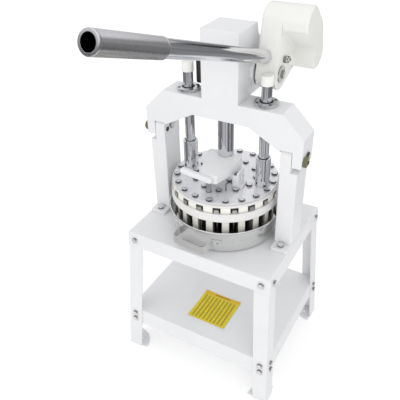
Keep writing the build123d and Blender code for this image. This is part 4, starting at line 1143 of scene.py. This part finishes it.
@dataclass
class Studio:
    """Pale floor, soft light and the camera."""

    camera_at: Triple = (0.6233, -1.2179, 1.5400)
    pan: float = 0.534
    tilt: float = 0.605
    roll: float = -0.031
    lens: float = 45.96
    sensor: float = 36.0
    clip_end: float = 50.0
    floor_half: float = 8.0
    floor_steps: int = 8
    floor_colour: Triple = (0.80, 0.80, 0.80)
    floor_roughness: float = 0.9
    floor_shine: float = 0.1
    floor_glow: float = 0.30
    sky: float = 0.97
    key_at: Triple = (-1.6, -2.4, 2.6)
    key_aim: Triple = (0.0, 0.0, 0.7)
    key_size: float = 2.2
    key_power: float = 7.0
    side_at: Triple = (1.5, -1.7, 1.7)
    side_aim: Triple = (0.0, 0.0, 0.95)
    side_size: float = 1.2
    side_power: float = 8.0
    blueness: float = 1.03
    card_lift: float = 0.001
    card_turns: Stops = (
        (0.0, 0.2), (0.14, 0.2), (0.26, 0.65), (0.31, 0.3), (0.345, 0.75), (0.42, 0.1), (0.47, 0.24),
        (0.56, 0.1), (0.70, 0.4), (0.92, 0.5), (1.0, 0.2))
    card_near: Triple = (1.05, 0.90, 0.65)
    card_far: Triple = (2.2, 3.2, 0.22)
    room_heights: Stops = (
        (0.0, 0.5), (0.56, 0.6), (0.62, 0.9), (0.80, 0.95), (0.93, 1.1), (1.0, 1.2))
    room_turns: Stops = (
        (0.0, 0.35), (0.04, 0.06), (0.25, 0.06), (0.30, 0.35), (0.66, 0.35), (0.69, 0.22), (0.72, 0.22),
        (0.728, 0.03), (0.748, 0.03), (0.765, 0.2), (0.79, 0.25), (0.82, 0.65), (0.89, 0.65), (0.92, 0.35),
        (1.0, 0.35))
    room_rise: Pair = (0.19, 0.23)

    def ground(self, name: str, height: float, material: bpy.types.Material) -> bpy.types.Object:
        """Lay a wide square on the ground.

        Args:
            name: of the square.
            height: above the floor.
            material: what it is made of.
        Returns:
            The new object.
        """
        bm = bmesh.new()
        steps = self.floor_steps
        bmesh.ops.create_grid(bm, x_segments=steps, y_segments=steps, size=self.floor_half)
        bmesh.ops.translate(bm, verts=bm.verts, vec=UP * height)
        mesh = bpy.data.meshes.new(name)
        bm.to_mesh(mesh)
        bm.free()
        mesh.materials.append(material)
        obj = bpy.data.objects.new(name, mesh)
        bpy.context.scene.collection.objects.link(obj)
        return obj

    def blank(self, name: str) -> tuple[bpy.types.Material, Graph, bpy.types.Node]:
        """Start a staging material.

        Args:
            name: of the material.
        Returns:
            The material, its graph and its output node.
        """
        material = bpy.data.materials.new(name)
        material.use_nodes = True
        material.node_tree.nodes.clear()
        g = Graph(material.node_tree)
        return material, g, g.add("ShaderNodeOutputMaterial")

    def floor(self) -> None:
        """Lay the plain pale floor."""
        material, g, output = self.blank("pale_floor")
        shader = g.add("ShaderNodeBsdfPrincipled", {
            "Base Color": (*self.floor_colour, 1.0),
            "Roughness": self.floor_roughness,
            "Specular IOR Level": self.floor_shine,
            "Emission Color": PURE_WHITE,
            "Emission Strength": self.floor_glow,
        })
        g.fill(output, {0: shader.outputs[0]})
        self.ground("studio_floor", 0.0, material)

    def cards(self) -> None:
        """Lay light and dark cards round the machine that only its polished metal mirrors."""
        material, g, output = self.blank("mirrored_cards")
        place = g.add("ShaderNodeTexCoord").outputs["Object"]
        turn = g.add("ShaderNodeTexGradient", {0: place}, gradient_type="RADIAL")
        tone = self.ramp(g, turn.outputs[0], self.card_turns)
        reach = g.add("ShaderNodeVectorMath", {0: place}, operation="LENGTH").outputs["Value"]
        for begins, full, grey in (self.card_near, self.card_far):
            tone = g.mix(g.share(reach, begins, full), tone, (grey, grey, grey, 1.0))
        g.fill(output, {0: g.add("ShaderNodeEmission", {"Color": tone}).outputs[0]})
        obj = self.ground("studio_cards", self.card_lift, material)
        obj.visible_camera = False
        obj.visible_diffuse = False
        obj.visible_shadow = False
        obj.visible_transmission = False

    def ramp(self, g: Graph, value: Socket, greys: Stops) -> Socket:
        """Turn a value into greys.

        Args:
            g: the node tree's graph.
            value: socket from 0 to 1.
            greys: places on the ramp with their brightness.
        Returns:
            The colour's socket.
        """
        node = g.add("ShaderNodeValToRGB", {0: value})
        stops = node.color_ramp.elements
        while len(stops) > 1:
            stops.remove(stops[-1])
        for number, (position, grey) in enumerate(greys):
            stop = stops[0] if number == 0 else stops.new(position)
            stop.position = position
            stop.color = (grey, grey, grey * self.blueness, 1.0)
        return node.outputs[0]

    def panel(self, name: str, at: Triple, aim: Triple, size: float, power: float) -> None:
        """Hang a square soft light.

        Args:
            name: of the light.
            at: where it hangs.
            aim: what it points at.
            size: of its side.
            power: in watts.
        """
        light = bpy.data.lights.new(name, "AREA")
        light.shape = "SQUARE"
        light.size = size
        light.energy = power
        obj = bpy.data.objects.new(name, light)
        obj.location = at
        obj.rotation_euler = (Vector(aim) - Vector(at)).to_track_quat("-Z", "Y").to_euler()
        obj.visible_glossy = False
        bpy.context.scene.collection.objects.link(obj)

    def surroundings(self) -> None:
        """White room whose walls are darker low down, where polished metal mirrors them."""
        world = bpy.data.worlds.new("studio_room")
        bpy.context.scene.world = world
        world.use_nodes = True
        world.node_tree.nodes.clear()
        g = Graph(world.node_tree)
        direction = g.add("ShaderNodeTexCoord").outputs["Generated"]
        way = g.add("ShaderNodeSeparateXYZ", {0: direction}).outputs
        ramp = self.ramp(g, g.math("ADD", g.math("MULTIPLY", way[2], 0.5), 0.5), self.room_heights)
        turn = g.add("ShaderNodeTexGradient", {0: direction}, gradient_type="RADIAL")
        level, above = self.room_rise
        low_down = g.share(way[2], above, level)
        ramp = g.mix(low_down, ramp, self.ramp(g, turn.outputs[0], self.room_turns))
        path = g.add("ShaderNodeLightPath")
        light = g.add("ShaderNodeBackground", {"Color": PURE_WHITE, "Strength": self.sky}).outputs[0]
        mirrored = g.add("ShaderNodeBackground", {"Color": ramp, "Strength": 1.0}).outputs[0]
        seen = g.add("ShaderNodeBackground", {"Color": PURE_WHITE, "Strength": 1.0}).outputs[0]
        for ray, shown in (("Is Glossy Ray", mirrored), ("Is Camera Ray", seen)):
            light = g.add("ShaderNodeMixShader", {0: path.outputs[ray], 1: light, 2: shown}).outputs[0]
        g.add("ShaderNodeOutputWorld", {0: light})

    def camera(self) -> None:
        """Stand the camera where the photograph was taken from."""
        ahead = Vector((-math.sin(self.pan), math.cos(self.pan), 0.0))
        forward = ahead * math.cos(self.tilt) - UP * math.sin(self.tilt)
        level = Vector((math.cos(self.pan), math.sin(self.pan), 0.0))
        upright = level.cross(forward)
        right = level * math.cos(self.roll) + upright * math.sin(self.roll)
        up = upright * math.cos(self.roll) - level * math.sin(self.roll)
        turn = Matrix((right, up, -forward)).transposed()
        lens = bpy.data.cameras.new("photo_camera")
        lens.lens = self.lens
        lens.sensor_width = self.sensor
        lens.clip_end = self.clip_end
        obj = bpy.data.objects.new("photo_camera", lens)
        obj.matrix_world = Matrix.Translation(self.camera_at) @ turn.to_4x4()
        bpy.context.scene.collection.objects.link(obj)
        bpy.context.scene.camera = obj

    def build(self) -> None:
        """Set up the whole studio."""
        bpy.context.scene.view_settings.view_transform = "Standard"
        self.floor()
        self.cards()
        self.surroundings()
        self.panel("key_panel", self.key_at, self.key_aim, self.key_size, self.key_power)
        self.panel("side_panel", self.side_at, self.side_aim, self.side_size, self.side_power)
        self.camera()


def main() -> None:
    """Dress every sub-assembly, then light it."""
    logging.basicConfig(level=logging.INFO, format="%(name)s: %(message)s")
    Studio().build()
    for group in (Stand(), PressFrame(), Lever(), RamAssembly(), PressHead(), Latch(), Pan()):
        group.dress()
        group.build()
        added = group.added or "none"
        log.info("%s: %d nodes dressed, added %s", type(group).__name__, len(group.finishes), added)


if __name__ == "__main__":
    main()
